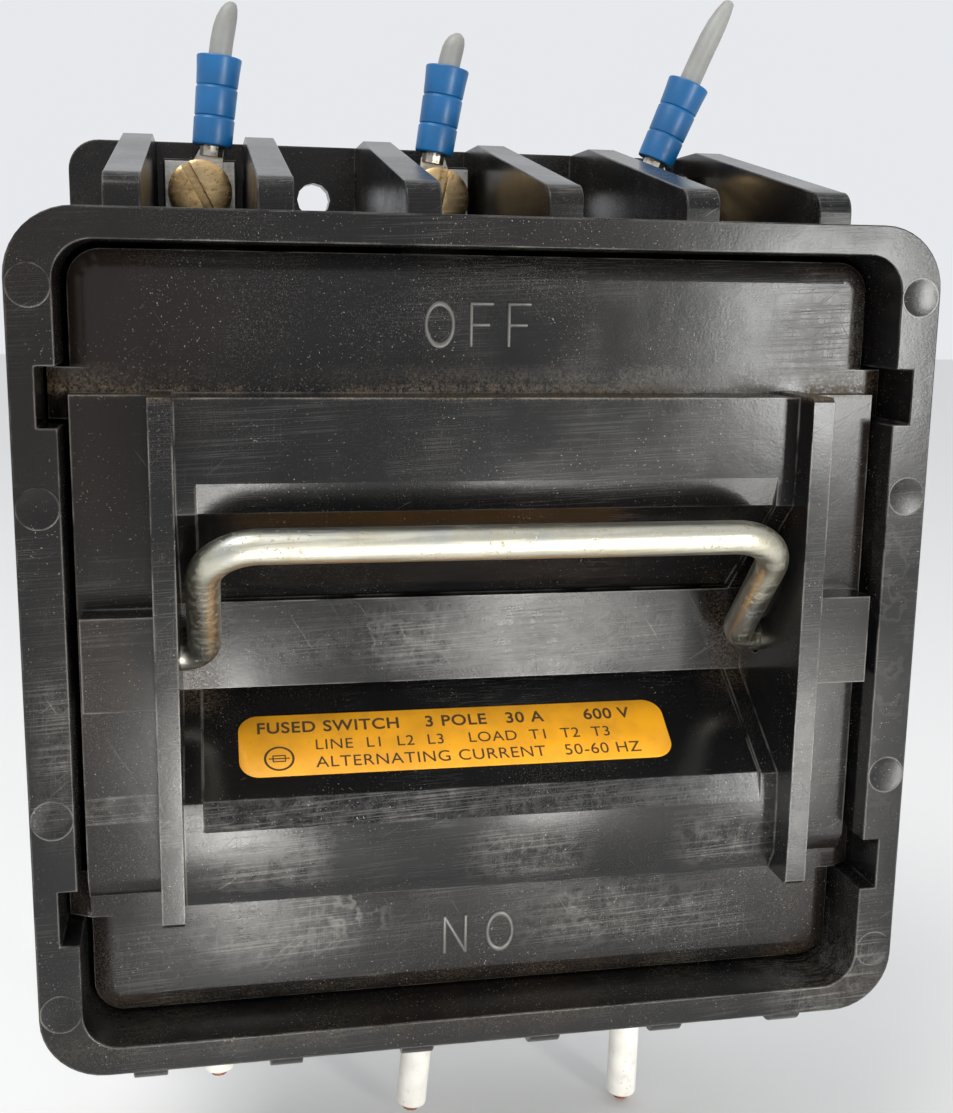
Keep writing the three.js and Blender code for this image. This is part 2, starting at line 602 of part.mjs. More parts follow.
// lies on the lower slope of the finger channel
function ratingLabel() {
  const geometry = new THREE.ExtrudeGeometry(roundedOutline(LABEL.width, LABEL.height, LABEL.radius), {
    depth: LABEL.thickness, bevelEnabled: false, curveSegments: 5,
  });
  const slopeRun = PEDESTAL_DEPTH + RECESS_STEP - LIP_DEPTH;
  const slopeRise = PEDESTAL_BOTTOM_Z + MOUTH_Z - LIP_HEIGHT;
  const depth = LIP_DEPTH + slopeRun * (LABEL.z + MOUTH_Z - LIP_HEIGHT) / slopeRise;
  geometry.translate(0, 0, GAP);
  geometry.rotateX(Math.atan2(slopeRise, slopeRun));
  geometry.translate(LABEL.x, behindRim(depth), LABEL.z);
  return toSolid(geometry);
}

// ---------------------------------------------------------------- fuse clips, screws and fuses
// spring channel around a ferrule; one arm runs on back as the knife blade
function fuseClip(x, end) {
  const inner = FERRULE_DIAMETER / 2 + 0.4;
  const outer = inner + CLIP_THICKNESS;
  const front = CHANNEL_BACK + GAP;
  const bend = CLIP_ARM_BACK - 4;
  const flare = 1.6;
  const tip = BLADE_TIP_DEPTH;
  const bladeInner = BLADE_OFFSET - BLADE_THICKNESS / 2;
  const bladeOuter = BLADE_OFFSET + BLADE_THICKNESS / 2;
  const spring = prism('z', outline([
    [-outer, front], [outer, front], [outer, bend], [bladeOuter, CLIP_ARM_BACK],
    [bladeOuter, tip - 1.5], [bladeOuter - 0.6, tip], [bladeInner + 0.6, tip], [bladeInner, tip - 1.5],
    [bladeInner, CLIP_ARM_BACK], [inner, bend],
    [inner, front + CLIP_THICKNESS], [-inner, front + CLIP_THICKNESS],
    [-inner, bend], [-inner - flare, CLIP_ARM_BACK], [-outer - flare, CLIP_ARM_BACK], [-outer, bend],
  ].map(([offset, depth]) => [x + offset, behindRim(depth)])), ...spanOn(end, GRIP_BOTTOM_Z, GRIP_TOP_Z));
  const tab = box(x - 5, x + 5, front, front + CLIP_THICKNESS,
    ...spanOn(end, GRIP_TOP_Z - 1, CLIP_SCREW_Z + 4.4));
  const hole = depthRod(x, end * CLIP_SCREW_Z, 2, front - OVERCUT, front + CLIP_THICKNESS + OVERCUT);
  return cut(join(spring, tab), hole);
}

function clipScrew(x, end) {
  const seat = CHANNEL_BACK + GAP + CLIP_THICKNESS + GAP;
  const facingBack = slottedScrew(CLIP_SCREW, 30 + x).mirror([0, 1, 0]);
  return facingBack.translate([x, behindRim(seat), end * CLIP_SCREW_Z]);
}

function uprightLathe(points, x, depth) {
  const geometry = new THREE.LatheGeometry(points.map(([radius, z]) => new THREE.Vector2(radius, z)), 16);
  geometry.rotateX(Math.PI / 2);
  geometry.translate(x, behindRim(depth), 0);
  return toSolid(geometry);
}

function fuseBody(x) {
  const half = FUSE_LENGTH / 2 - 1.1;
  const radius = FUSE_TUBE_DIAMETER / 2;
  return uprightLathe([[0, -half], [radius, -half], [radius, half], [0, half]], x, FUSE_DEPTH);
}

function fuseCap(x, end) {
  const outer = FERRULE_DIAMETER / 2;
  const inner = FUSE_TUBE_DIAMETER / 2 + GAP;
  const mouth = FUSE_LENGTH / 2 - FERRULE_LENGTH;
  const top = FUSE_LENGTH / 2;
  const cap = uprightLathe([
    [0, top - 0.8], [inner, top - 0.8], [inner, mouth], [outer, mouth],
    [outer, top - 0.6], [outer - 0.6, top], [0, top],
  ], x, FUSE_DEPTH);
  return end > 0 ? cap : mirrorZ(cap);
}

// ---------------------------------------------------------------- wire bail
const PIN_BEND = 3.5;          // how far the round bend from pin to leg reaches
const GRIP_BEND = 8;           // the same, from leg to grip bar

// One round wire: pin, leg, grip bar, leg, pin, swung up from straight out by the rest angle.
function bailHandle() {
  const angle = THREE.MathUtils.degToRad(BAIL_REST_ANGLE);
  const point = (x, along) => new THREE.Vector3(
    x, behindRim(PIVOT_DEPTH) - along * Math.cos(angle), PIVOT_Z + along * Math.sin(angle));
  const corners = [
    [-BAIL_PIN_END_X, 0], [-BAIL_LEG_X - PIN_BEND, 0], [-BAIL_LEG_X, 0], [-BAIL_LEG_X, PIN_BEND],
    [-BAIL_LEG_X, BAIL_LENGTH - GRIP_BEND], [-BAIL_LEG_X, BAIL_LENGTH], [GRIP_BEND - BAIL_LEG_X, BAIL_LENGTH],
  ];
  const route = [...corners, ...corners.toReversed().map(([x, along]) => [-x, along])]
    .map(([x, along]) => point(x, along));
  const path = new THREE.CurvePath();
  const straight = (from) => path.add(new THREE.LineCurve3(...route.slice(from, from + 2)));
  const bend = (from) => path.add(new THREE.QuadraticBezierCurve3(...route.slice(from, from + 3)));
  for (const start of [0, 3, 6, 9]) {
    straight(start);
    bend(start + 1);
  }
  straight(12);
  const section = new THREE.Shape();
  section.absarc(0, 0, WIRE_DIAMETER / 2, 0, 2 * Math.PI);
  return toSolid(new THREE.ExtrudeGeometry(section, { steps: 56, curveSegments: 5, extrudePath: path }));
}

// ---------------------------------------------------------------- assembly
addPart('base_housing', baseHousing(), phenolic);
for (const [index, pole] of POLES.entries()) {
  const { number, x } = pole;
  const line = lineContact(x);
  addPart(`line_contact_${number}`, line, tinnedCopper);
  addPart(`load_contact_${number}`, mirrorZ(line), tinnedCopper);
  addPart(`line_terminal_screw_${number}`, terminalScrew(x, TERMINAL_Z, 62 + 40 * index), brass);
  addPart(`load_terminal_screw_${number}`, terminalScrew(x, -TERMINAL_Z, 15 + 50 * index), brass);
  addPart(`line_contact_screw_${number}`, footScrew(x, GRIP_Z, 20 * number), zincSteel);
  addPart(`load_contact_screw_${number}`, footScrew(x, -GRIP_Z, 35 * number), zincSteel);
  addPart(`line_lug_${number}`, lineLug(x, LUGS[index]), tinnedCopper);
  addPart(`line_sleeve_${number}`, lineSleeve(x, LUGS[index]), blueVinyl);
  addPart(`line_wire_${number}`, lineWire(x, LUGS[index]), greyInsulation);
  addPart(`load_wire_${number}`, loadWire(x, LOAD_WIRES[index]), whiteInsulation);
  addPart(`load_conductor_${number}`, loadConductor(x, LOAD_WIRES[index]), bareCopper);
}
addPart('pullout_head', pulloutHead(), phenolic);
addPart('rating_label', ratingLabel(), labelFoil);
for (const { number, x } of POLES) {
  addPart(`line_fuse_clip_${number}`, fuseClip(x, 1), springCopper);
  addPart(`load_fuse_clip_${number}`, fuseClip(x, -1), springCopper);
  addPart(`line_clip_screw_${number}`, clipScrew(x, 1), zincSteel);
  addPart(`load_clip_screw_${number}`, clipScrew(x, -1), zincSteel);
  addPart(`fuse_tube_${number}`, fuseBody(x), fuseTube);
  addPart(`line_fuse_cap_${number}`, fuseCap(x, 1), brass);
  addPart(`load_fuse_cap_${number}`, fuseCap(x, -1), brass);
}
addPart('bail_handle', bailHandle(), zincSteel);

export default assembly;
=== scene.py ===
# %% [markdown]
# # A pull-out fused disconnect switch
# The real object is a black phenolic housing with a square mouth. A second moulding, the pull-out
# head, sits in the mouth and carries the fuses, and a plated wire bail is what a hand pulls on.
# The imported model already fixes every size, place and joint, so this lesson only makes the looks:
# softened edges, turned screws, lettering, dust and scuffs.

# %% Load the frame
import json
from math import atan2, cos, radians, sin, tan

import bpy
from mathutils import Matrix, Vector

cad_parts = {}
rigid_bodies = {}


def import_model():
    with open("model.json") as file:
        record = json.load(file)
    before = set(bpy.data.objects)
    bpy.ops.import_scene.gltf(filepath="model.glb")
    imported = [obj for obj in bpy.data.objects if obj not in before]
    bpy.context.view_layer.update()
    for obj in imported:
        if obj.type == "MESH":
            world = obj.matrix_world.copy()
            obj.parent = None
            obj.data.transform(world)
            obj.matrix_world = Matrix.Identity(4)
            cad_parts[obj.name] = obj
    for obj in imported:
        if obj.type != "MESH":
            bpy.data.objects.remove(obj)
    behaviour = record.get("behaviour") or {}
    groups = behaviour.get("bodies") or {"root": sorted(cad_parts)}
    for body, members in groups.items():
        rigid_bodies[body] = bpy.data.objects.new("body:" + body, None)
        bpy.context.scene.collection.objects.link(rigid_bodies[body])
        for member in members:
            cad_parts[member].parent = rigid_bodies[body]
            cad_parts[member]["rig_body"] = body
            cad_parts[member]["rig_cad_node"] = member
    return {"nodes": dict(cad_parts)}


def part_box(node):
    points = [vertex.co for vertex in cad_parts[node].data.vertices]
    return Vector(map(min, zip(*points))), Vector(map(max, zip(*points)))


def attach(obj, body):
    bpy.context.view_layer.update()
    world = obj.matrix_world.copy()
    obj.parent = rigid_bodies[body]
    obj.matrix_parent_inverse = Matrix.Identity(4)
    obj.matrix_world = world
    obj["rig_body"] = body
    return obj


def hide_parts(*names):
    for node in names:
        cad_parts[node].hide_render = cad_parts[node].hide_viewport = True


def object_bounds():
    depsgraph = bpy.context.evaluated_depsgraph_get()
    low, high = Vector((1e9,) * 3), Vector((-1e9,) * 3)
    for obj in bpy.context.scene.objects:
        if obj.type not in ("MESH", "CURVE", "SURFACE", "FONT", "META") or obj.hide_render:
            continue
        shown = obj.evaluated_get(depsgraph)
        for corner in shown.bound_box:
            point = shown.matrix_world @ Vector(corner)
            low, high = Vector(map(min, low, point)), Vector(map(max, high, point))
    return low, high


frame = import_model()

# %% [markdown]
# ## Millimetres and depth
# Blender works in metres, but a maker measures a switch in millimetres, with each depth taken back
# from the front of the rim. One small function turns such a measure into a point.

cad_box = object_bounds()
MM = 0.001
POLES = (1, 2, 3)
RIM_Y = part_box("base_housing")[0].y
print("CAD box in mm:", [[round(v / MM, 1) for v in corner] for corner in cad_box])


def at(x, depth, z):
    """A point given in millimetres, with its depth behind the front of the rim."""
    return Vector((x * MM, RIM_Y + depth * MM, z * MM))


# %% [markdown]
# ## Camera
# The switch is seen from close by, a little from the left and from above, so its near left side
# looks larger than its right. A camera is set by where it stands, where it looks and which way is
# up. A matrix made of those three directions states it more exactly than Euler angles would.

# %% Camera
def add_camera(location, look, up, lens):
    data = bpy.data.cameras.new("camera")
    data.lens = lens
    camera = bpy.data.objects.new("camera", data)
    bpy.context.scene.collection.objects.link(camera)
    right = look.cross(up).normalized()
    top = right.cross(look).normalized()
    turn = Matrix((right, top, -look.normalized())).transposed()
    camera.matrix_world = Matrix.Translation(location) @ turn.to_4x4()
    bpy.context.scene.camera = camera
    return camera


CAMERA_PLACE = Vector((-0.0375, -0.2485, 0.0480))
CAMERA_LOOK = Vector((0.189, 0.963, -0.189))
CAMERA_UP = Vector((0.022, 0.189, 0.982))
CAMERA_LENS = 44.36
camera = add_camera(CAMERA_PLACE, CAMERA_LOOK, CAMERA_UP, CAMERA_LENS)
camera.data.clip_start = 0.01
print("camera at", tuple(round(v, 4) for v in camera.location))

# %% [markdown]
# ## Floor and light
# Black phenolic shows almost nothing but what it mirrors, so the room matters more than the
# lamps. A pale sky all round lifts the faces that look out of the mouth and leaves the recesses
# dark. The front faces mirror the table just ahead of the switch, so narrow strip lamps lie there
# and draw the soft bright streaks that glossy black plastic shows.


# %% Floor
FLOOR_SIZE = 6
FLOOR_GAP = 0.5 * MM
PAPER_WHITE = (0.80, 0.80, 0.79, 1)


def add_floor(height):
    bpy.ops.mesh.primitive_plane_add(size=FLOOR_SIZE, location=(0, 0, height))
    floor = bpy.context.object
    floor.name = "floor"
    paper = bpy.data.materials.new("pale_paper")
    paper.use_nodes = True
    shader = paper.node_tree.nodes["Principled BSDF"]
    shader.inputs["Base Color"].default_value = PAPER_WHITE
    shader.inputs["Roughness"].default_value = 0.9
    floor.data.materials.append(paper)
    print("floor at", round(height / MM, 1), "mm")


add_floor(cad_box[0].z - FLOOR_GAP)

# %% Sky
SKY_COLOUR = (0.95, 0.97, 1.0, 1)
SKY_STRENGTH = 0.84
world = bpy.data.worlds.new("pale_room")
world.use_nodes = True
sky = world.node_tree.nodes["Background"]
sky.inputs["Color"].default_value = SKY_COLOUR
sky.inputs["Strength"].default_value = SKY_STRENGTH
bpy.context.scene.world = world
bpy.context.scene.view_settings.view_transform = "Standard"
print("sky strength", SKY_STRENGTH)


# %% Lamps
def add_softbox(name, location, target, size, power, colour):
    location, target = Vector(location), Vector(target)
    data = bpy.data.lights.new(name, "AREA")
    data.shape = "RECTANGLE"
    data.size, data.size_y = size
    data.energy = power
    data.color = colour
    lamp = bpy.data.objects.new(name, data)
    bpy.context.scene.collection.objects.link(lamp)
    lamp.location = location
    lamp.rotation_euler = (target - location).to_track_quat("-Z", "Y").to_euler()


STRIP_TARGET = (0, RIM_Y, -0.035)
STRIP_Z = -0.092
STRIP_LENGTH = 0.09
WARM_WHITE = (1.0, 0.98, 0.94)
# Name, x, y, width and power of each strip that lies near the floor.
STRIPS = (
    ("left_strip", -0.033, -0.205, 0.020, 0.20),
    ("middle_strip", 0.050, -0.235, 0.016, 0.13),
    ("right_strip", 0.118, -0.235, 0.018, 0.12),
    ("far_strip", 0.102, -0.42, 0.06, 0.36),
)
add_softbox(
    "top_softbox", (-0.35, -0.35, 0.70), (0, RIM_Y, 0), (0.5, 0.4), 4.2, (1.0, 0.99, 0.97)
)
add_softbox(
    "right_softbox", (0.259, -0.518, 0.034), at(48, 0, 44), (0.07, 0.12), 1.0, (1.0, 1.0, 0.98)
)
for name, x, y, width, power in STRIPS:
    add_softbox(name, (x, y, STRIP_Z), STRIP_TARGET, (width, STRIP_LENGTH), power, WARM_WHITE)
print("lamps:", len(bpy.data.lights))

# %% [markdown]
# ## Shader maths as Python
# A finish is a small calculation: a scratch mask times a colour, plus some dust. Node graphs say
# that with dozens of boxes. A thin class around a socket lets the same sum be written as an
# expression, and one method makes every other kind of node.


# %% The signal class
def socket_of(sockets, key):
    if isinstance(key, int):
        return sockets[key]
    return next(s for s in sockets if key in (s.identifier, s.name))


class Signal:
    """One output socket of a material's nodes, which can be added, multiplied and so on."""

    SEED_STEP = (1.0, 0.7, 0.3)
    SPECK_CORE = 0.6
    GRAIN_EDGE = 0.04
    SCRATCH_EDGE = 0.05

    def __init__(self, tree, socket):
        self.tree, self.socket = tree, socket

    def made(self, kind, settings, inputs, output=0):
        node = self.tree.nodes.new("ShaderNode" + kind)
        for key, value in settings.items():
            setattr(node, key, value)
        for key, value in inputs.items():
            target = socket_of(node.inputs, key)
            if isinstance(value, Signal):
                self.tree.links.new(value.socket, target)
            else:
                target.default_value = value
        return Signal(self.tree, socket_of(node.outputs, output))

    def math(self, operation, first, second=0.0, clamp=False):
        settings = {"operation": operation, "use_clamp": clamp}
        return self.made("Math", settings, {0: first, 1: second})

    def __add__(self, other):
        return self.math("ADD", self, other)

    def __sub__(self, other):
        return self.math("SUBTRACT", self, other)

    def __rsub__(self, other):
        return self.math("SUBTRACT", other, self)

    def __mul__(self, other):
        return self.math("MULTIPLY", self, other)

    def __truediv__(self, other):
        return self.math("DIVIDE", self, other)

    __radd__ = __add__
    __rmul__ = __mul__

    def clamped(self):
        return self.math("ADD", self, clamp=True)

    def between(self, low, high):
        """0 below low, 1 above high, and a smooth rise from one to the other."""
        settings = {"interpolation_type": "SMOOTHSTEP"}
        return self.made("MapRange", settings, {"Value": self, "From Min": low, "From Max": high})

    def near(self, centre, reach):
        """1 where this equals centre, falling to 0 at that reach from it."""
        return (1 - self.math("ABSOLUTE", self - centre) / reach).clamped()

    def noise(self, scale, detail=3.0, roughness=0.5, seed=0.0):
        """Cloudy noise, read a seed's distance away so that no two patterns match."""
        shift = tuple(seed * step for step in self.SEED_STEP)
        moved = self.made("VectorMath", {"operation": "ADD"}, {0: self, 1: shift})
        values = {"Vector": moved, "Scale": scale, "Detail": detail, "Roughness": roughness}
        return self.made("TexNoise", {}, values)

    def specks(self, scale, size):
        """Scattered round dots, size as a share of the spacing between them."""
        cells = self.made("TexVoronoi", {}, {"Vector": self, "Scale": scale})
        return 1 - cells.between(size * self.SPECK_CORE, size)

    def grains(self, scale, rarity, seed=0.0):
        """Scattered uneven grains, fewer as rarity goes up from 0.6."""
        return self.noise(scale, 2.0, 0.6, seed).between(rarity, rarity + self.GRAIN_EDGE)

    def scratches(self, angle, along, across, rarity, seed=0.0):
        """Thin broken lines at an angle in the front plane, in degrees."""
        turn = {"Vector": self, "Angle": radians(angle)}
        turned = self.made("VectorRotate", {"rotation_type": "Y_AXIS"}, turn)
        stretch = {0: turned, 1: (along, across, across)}
        drawn = self.made("VectorMath", {"operation": "MULTIPLY"}, stretch)
        return drawn.noise(1, 2, 0.5, seed).between(rarity, rarity + self.SCRATCH_EDGE)

    def blend(self, first, second):
        """First where this mask is 0, second where it is 1, for colours."""
        values = {"Factor_Float": self, "A_Color": first, "B_Color": second}
        return self.made("Mix", {"data_type": "RGBA"}, values, "Result_Color")


# %% [markdown]
# ## The finish class
# Every material starts the same way: one Principled shader, some constants on its own sockets and
# the object's own coordinates as the place where patterns are read. Those coordinates are in
# metres, so a noise scale of 1000 gives marks about a millimetre across.


# %% Starting a finish
def rgb(red, green, blue):
    return (red, green, blue, 1.0)


class Finish:
    """A material in the making: its shader, and where a point of the surface lies."""

    SHADER_SAMPLES = 6
    WEAR_STARTS, WEAR_FULL = 0.004, 0.09

    def __init__(self, name, **constants):
        self.material = bpy.data.materials.new(name)
        self.material.use_nodes = True
        self.tree = self.material.node_tree
        self.shader = self.tree.nodes["Principled BSDF"]
        for key, value in constants.items():
            self.shader.inputs[key.replace("_", " ")].default_value = value
        source = Signal(self.tree, None)
        self.place = source.made("TexCoord", {}, {}, "Object")
        axes = self.tree.nodes.new("ShaderNodeSeparateXYZ")
        self.tree.links.new(self.place.socket, axes.inputs[0])
        self.x, self.y, self.z = (Signal(self.tree, axis) for axis in axes.outputs)
        self.side = self.x.math("ABSOLUTE", self.x)
        self.height = self.z.math("ABSOLUTE", self.z)

    def wire(self, **signals):
        """Links signals to the shader's sockets and gives back the finished material."""
        for key, signal in signals.items():
            self.tree.links.new(signal.socket, self.shader.inputs[key.replace("_", " ")])
        return self.material

    def bumped(self, height, distance, strength):
        values = {"Height": height, "Distance": distance, "Strength": strength}
        bump = self.place.made("Bump", {}, values)
        self.tree.links.new(bump.socket, self.shader.inputs["Normal"])

    def worn_edges(self, radius):
        """1 on convex and concave edges: where the rounded normal leaves the true one."""
        rounded = self.place.made("Bevel", {"samples": self.SHADER_SAMPLES}, {"Radius": radius})
        flat = self.place.made("NewGeometry", {}, {}, "Normal")
        dot_product = {"operation": "DOT_PRODUCT"}
        agree = self.place.made("VectorMath", dot_product, {0: rounded, 1: flat}, "Value")
        return (1 - agree).between(self.WEAR_STARTS, self.WEAR_FULL)


# %% [markdown]
# ## Black phenolic
# Phenolic is a hard, slightly glossy moulding compound with a brown cast. Years in a workshop
# have left fine scuffs, pale rubbed edges and tan dust that settles on ledges. A pale haze in set
# patches is painted sheen, where the glossy faces mirror bright things. Dust, wear and sheen are
# masks made of noise, and the places where dust gathers are given by height and depth, so the
# same recipe serves the housing and the head.


# %% Marks on phenolic
BODY_BLACK = rgb(0.0048, 0.0049, 0.0053)
BODY_BROWN = rgb(0.0082, 0.0054, 0.0043)
# Scuffs and the pale haze of painted sheen are both drawn in this grey.
SCUFF_AND_SHEEN_GREY = rgb(0.150, 0.144, 0.134)
EDGE_GREY = rgb(0.20, 0.19, 0.175)
DUST_TAN = rgb(0.21, 0.145, 0.078)
GRAIN_WHITE = rgb(0.46, 0.41, 0.34)


def scuffs(place, wear_and_sheen, broad):
    """Hairlines in broad patches and a few deep scratches, all stronger in the patches of wear and
    painted sheen.
    """
    hair = place.scratches(3, 70, 5200, 0.55, 1.0)
    hair = hair + place.scratches(87, 160, 5200, 0.62, 2.0) * 0.5
    hair = (hair + place.scratches(41, 140, 4200, 0.65, 8.0) * 0.7).clamped()
    deep = place.scratches(31, 90, 1900, 0.72, 4.0) + place.scratches(-58, 90, 2100, 0.73, 6.0)
    return (hair * (broad * 0.13 + wear_and_sheen * 0.42) + deep.clamped() * (0.12 + wear_and_sheen * 0.5)).clamped()


def smear_rims(place, marked):
    """The dried outlines of wet marks."""
    wet = place.noise(240, 3, 0.5, 11.0)
    return marked * wet.between(0.50, 0.55) * (1 - wet.between(0.57, 0.62)) * 0.5


def dust_film(place, dusty):
    """Fine dust in clouds, where it can settle."""
    fine = place.noise(2300, 5, 0.8, 7.0).between(0.42, 0.62)
    return (dusty * (fine * place.noise(75, 4, 0.6, 7.5).between(0.36, 0.58))).clamped()


def dust_specks(place, dusty):
    """Single pale grains and powder everywhere, and more of them where dust settles."""
    grains = place.grains(3600, 0.685, 5.0) * place.noise(90, 3, 0.6, 5.0).between(0.40, 0.60)
    powder = place.grains(7500, 0.60, 9.0) * place.noise(48, 4, 0.6, 9.0).between(0.40, 0.66)
    return (grains + powder * 0.22 + dusty * place.grains(3800, 0.60, 3.0) * 0.4).clamped()


print("marks: scuffs, smears, film and specks")


# %% Phenolic recipe
def phenolic(name, places_of, shine):
    finish = Finish(name, IOR=1.5, Specular_IOR_Level=0.28)
    place = finish.place
    dusty, wear_and_sheen, brown_and_lit, marked = places_of(finish)
    cast = (place.noise(24, 4).between(0.40, 0.72) * 0.6 + brown_and_lit).clamped()
    broad = place.noise(38, 5, 0.6, 3.0).between(0.44, 0.70)
    rubbed = scuffs(place, wear_and_sheen, broad)
    # Painted sheen: a pale haze in the wear and sheen patches, for bright things mirrored in the
    # gloss.
    painted_sheen = (wear_and_sheen * place.noise(420, 7, 0.8, 2.0).between(0.40, 0.66) * 0.42).clamped()
    edges = finish.worn_edges(0.45 * MM) * place.noise(190, 4).between(0.34, 0.62)
    settled = dust_film(place, dusty)
    specks = dust_specks(place, dusty)
    colour = cast.blend(BODY_BLACK, BODY_BROWN)
    colour = (rubbed + painted_sheen).clamped().blend(colour, SCUFF_AND_SHEEN_GREY)
    colour = (edges * 0.65 + smear_rims(place, marked)).clamped().blend(colour, EDGE_GREY)
    colour = (settled * 0.65).blend(colour, DUST_TAN)
    colour = (specks * 0.5).blend(colour, GRAIN_WHITE)
    rough = shine + cast * 0.05 + broad * 0.08 + rubbed * 0.22 + painted_sheen * 0.25
    rough = rough + settled * 0.35 + specks * 0.3
    relief = place.noise(2600, 2) * 0.25 - rubbed * 0.6 + settled * 0.35
    finish.bumped(relief + place.noise(120, 3) * 1.6, 0.05 * MM, 0.55)
    return finish.wire(Base_Color=colour, Roughness=rough.clamped())


# %% [markdown]
# ## Where the wear and painted sheen sit
# Hands, tools and gravity leave their marks in particular places, so wear isn't spread evenly.
# Most soft-edged patches are also painted sheen: pale where a glossy face mirrors bright things.
# They are listed like stops on a map, and ledges and floors are picked by height.

# %% Where dust settles, and where wear and painted sheen sit
# Each pair is where a soft step starts and ends along its axis, in metres.
OUTSIDE_Z = (0.0575, 0.060)
OUTSIDE_Y = (-0.045, -0.010)
FIN_Z = (0.0605, 0.0625)
FIN_FRONT_Y = (-0.0670, -0.0620)
MOUTH_FLOOR_Z = -0.0537
LEDGE_Z, ABOVE_LEDGE_Z = 0.0350, 0.0362
BAND_FOOT_Z = -0.0520
CHANNEL_END_X = (0.0340, 0.0392)
CHANNEL_Y = (-0.0600, -0.0570)
PEDESTAL_Z = (0.010, 0.018)
# The lower lip is lightened as painted sheen, fading out towards the right.
LIP_TOP_Z, LIP_FOOT_Z = (-0.0196, -0.0194), (-0.0236, -0.0234)
LIP_FADE_X = (-0.030, 0.045)
WING_X = (0.043, 0.047)
print("ledge at", LEDGE_Z / MM, "mm")

# %% Patches of wear and painted sheen
# Each row has x, z, reach in x and reach in z in millimetres, then strength.
# Both housing patches are painted sheen: the rim's lower right corner and the left rib.
HOUSING_WEAR_AND_SHEEN = ((52, -52, 14, 10, 0.6), (-58, -12, 4, 16, 0.4))
HOUSING_SMEARS = ((58, 0, 4, 40, 0.12),)
# Every head patch is painted sheen with scuffs in it: the ON band, the lower strip, the OFF band's
# right end and the pedestal.
HEAD_WEAR_AND_SHEEN = (
    (-30, -41, 15, 8, 1.0), (-31, -28, 12, 6, 0.7), (5, -29, 12, 6, 0.6), (34, -29, 10, 6, 0.6),
    (49, 43, 8, 10, 1.0), (6, -2, 30, 7, 1.0), (22, -43, 24, 7, 0.5), (-26, -3, 9, 4, 0.3),
)
# The first brown patch is the left wing's own cast; the second is painted light on the upper
# pocket's back wall.
HEAD_BROWN_AND_LIT = ((-44, 44, 16, 12, 0.6), (-15, 14, 26, 6, 0.7))
HEAD_SMEARS = ((-19, -40, 7, 6, 0.7), (17, -42, 8, 5, 0.35), (-12, -1, 9, 5, 0.3))


def patches(finish, rows):
    """The sum of soft-edged patches of the front."""
    total = 0
    for x, z, reach_x, reach_z, strength in rows:
        across = finish.x.near(x * MM, reach_x * MM).between(0.0, 0.8)
        total = total + across * finish.z.near(z * MM, reach_z * MM).between(0.0, 0.8) * strength
    return total


def housing_places(finish):
    """Dust on the plate and the mouth's floor, painted sheen and wear on the rim's lower half, wear
    on the fins.
    """
    outside = finish.height.between(*OUTSIDE_Z) * finish.y.between(*OUTSIDE_Y) * 0.15
    mouth_floor = finish.z.near(MOUTH_FLOOR_Z, 0.003) * 0.12
    fin_fronts = finish.height.between(*FIN_Z) * (1 - finish.y.between(*FIN_FRONT_Y))
    wear_and_sheen = patches(finish, HOUSING_WEAR_AND_SHEEN) + fin_fronts * 0.8
    return outside + mouth_floor, wear_and_sheen, outside, patches(finish, HOUSING_SMEARS)


def head_places(finish):
    """Dust on the ledge and in corners; wear and painted sheen on the lip, the bands and the
    pedestal.
    """
    ledge = finish.z.near(LEDGE_Z, 0.0009) + finish.z.near(ABOVE_LEDGE_Z, 0.0026) * 0.4
    foot = finish.z.near(BAND_FOOT_Z, 0.0030) * 0.2
    ends = finish.side.between(*CHANNEL_END_X) * finish.y.between(*CHANNEL_Y)
    ends = ends * (1 - finish.height.between(*PEDESTAL_Z))
    lip = (1 - finish.z.between(*LIP_TOP_Z)) * finish.z.between(*LIP_FOOT_Z)
    lip = lip * (1 - finish.x.between(*LIP_FADE_X) * 0.75)
    wear_and_sheen = (patches(finish, HEAD_WEAR_AND_SHEEN) + lip * 0.45).clamped()
    # Brown cast on the wings, plus painted light on the upper pocket's back wall.
    brown_and_lit = (finish.side.between(*WING_X) * 0.6 + patches(finish, HEAD_BROWN_AND_LIT)).clamped()
    return ledge * 0.8 + foot + ends * 0.35, wear_and_sheen, brown_and_lit, patches(finish, HEAD_SMEARS)


finishes = {
    "housing_phenolic": phenolic("housing_phenolic", housing_places, 0.19),
    "head_phenolic": phenolic("head_phenolic", head_places, 0.17),
}
for name, material in finishes.items():
    print(name, "has", len(material.node_tree.nodes), "nodes")

# %% [markdown]
# ## Metals
# The bail is zinc-plated steel: pale, slightly pitted and rubbed bright where hands hold it. The
# terminal screws are brass, with painted shade darkening their slots, and the contact strips are
# dull tinned copper. One recipe covers them all: a bright colour, a tarnish colour, and how rough
# and pitted the metal is.


# %% Metal recipe
CREVICE_SHADE = rgb(0.020, 0.014, 0.008)
CREVICE_SHADE_REACH = 1.2 * MM
# How far a tinted cloud takes red, green and blue down from the bright colour.
TINT = (0.66, 0.74, 0.95)


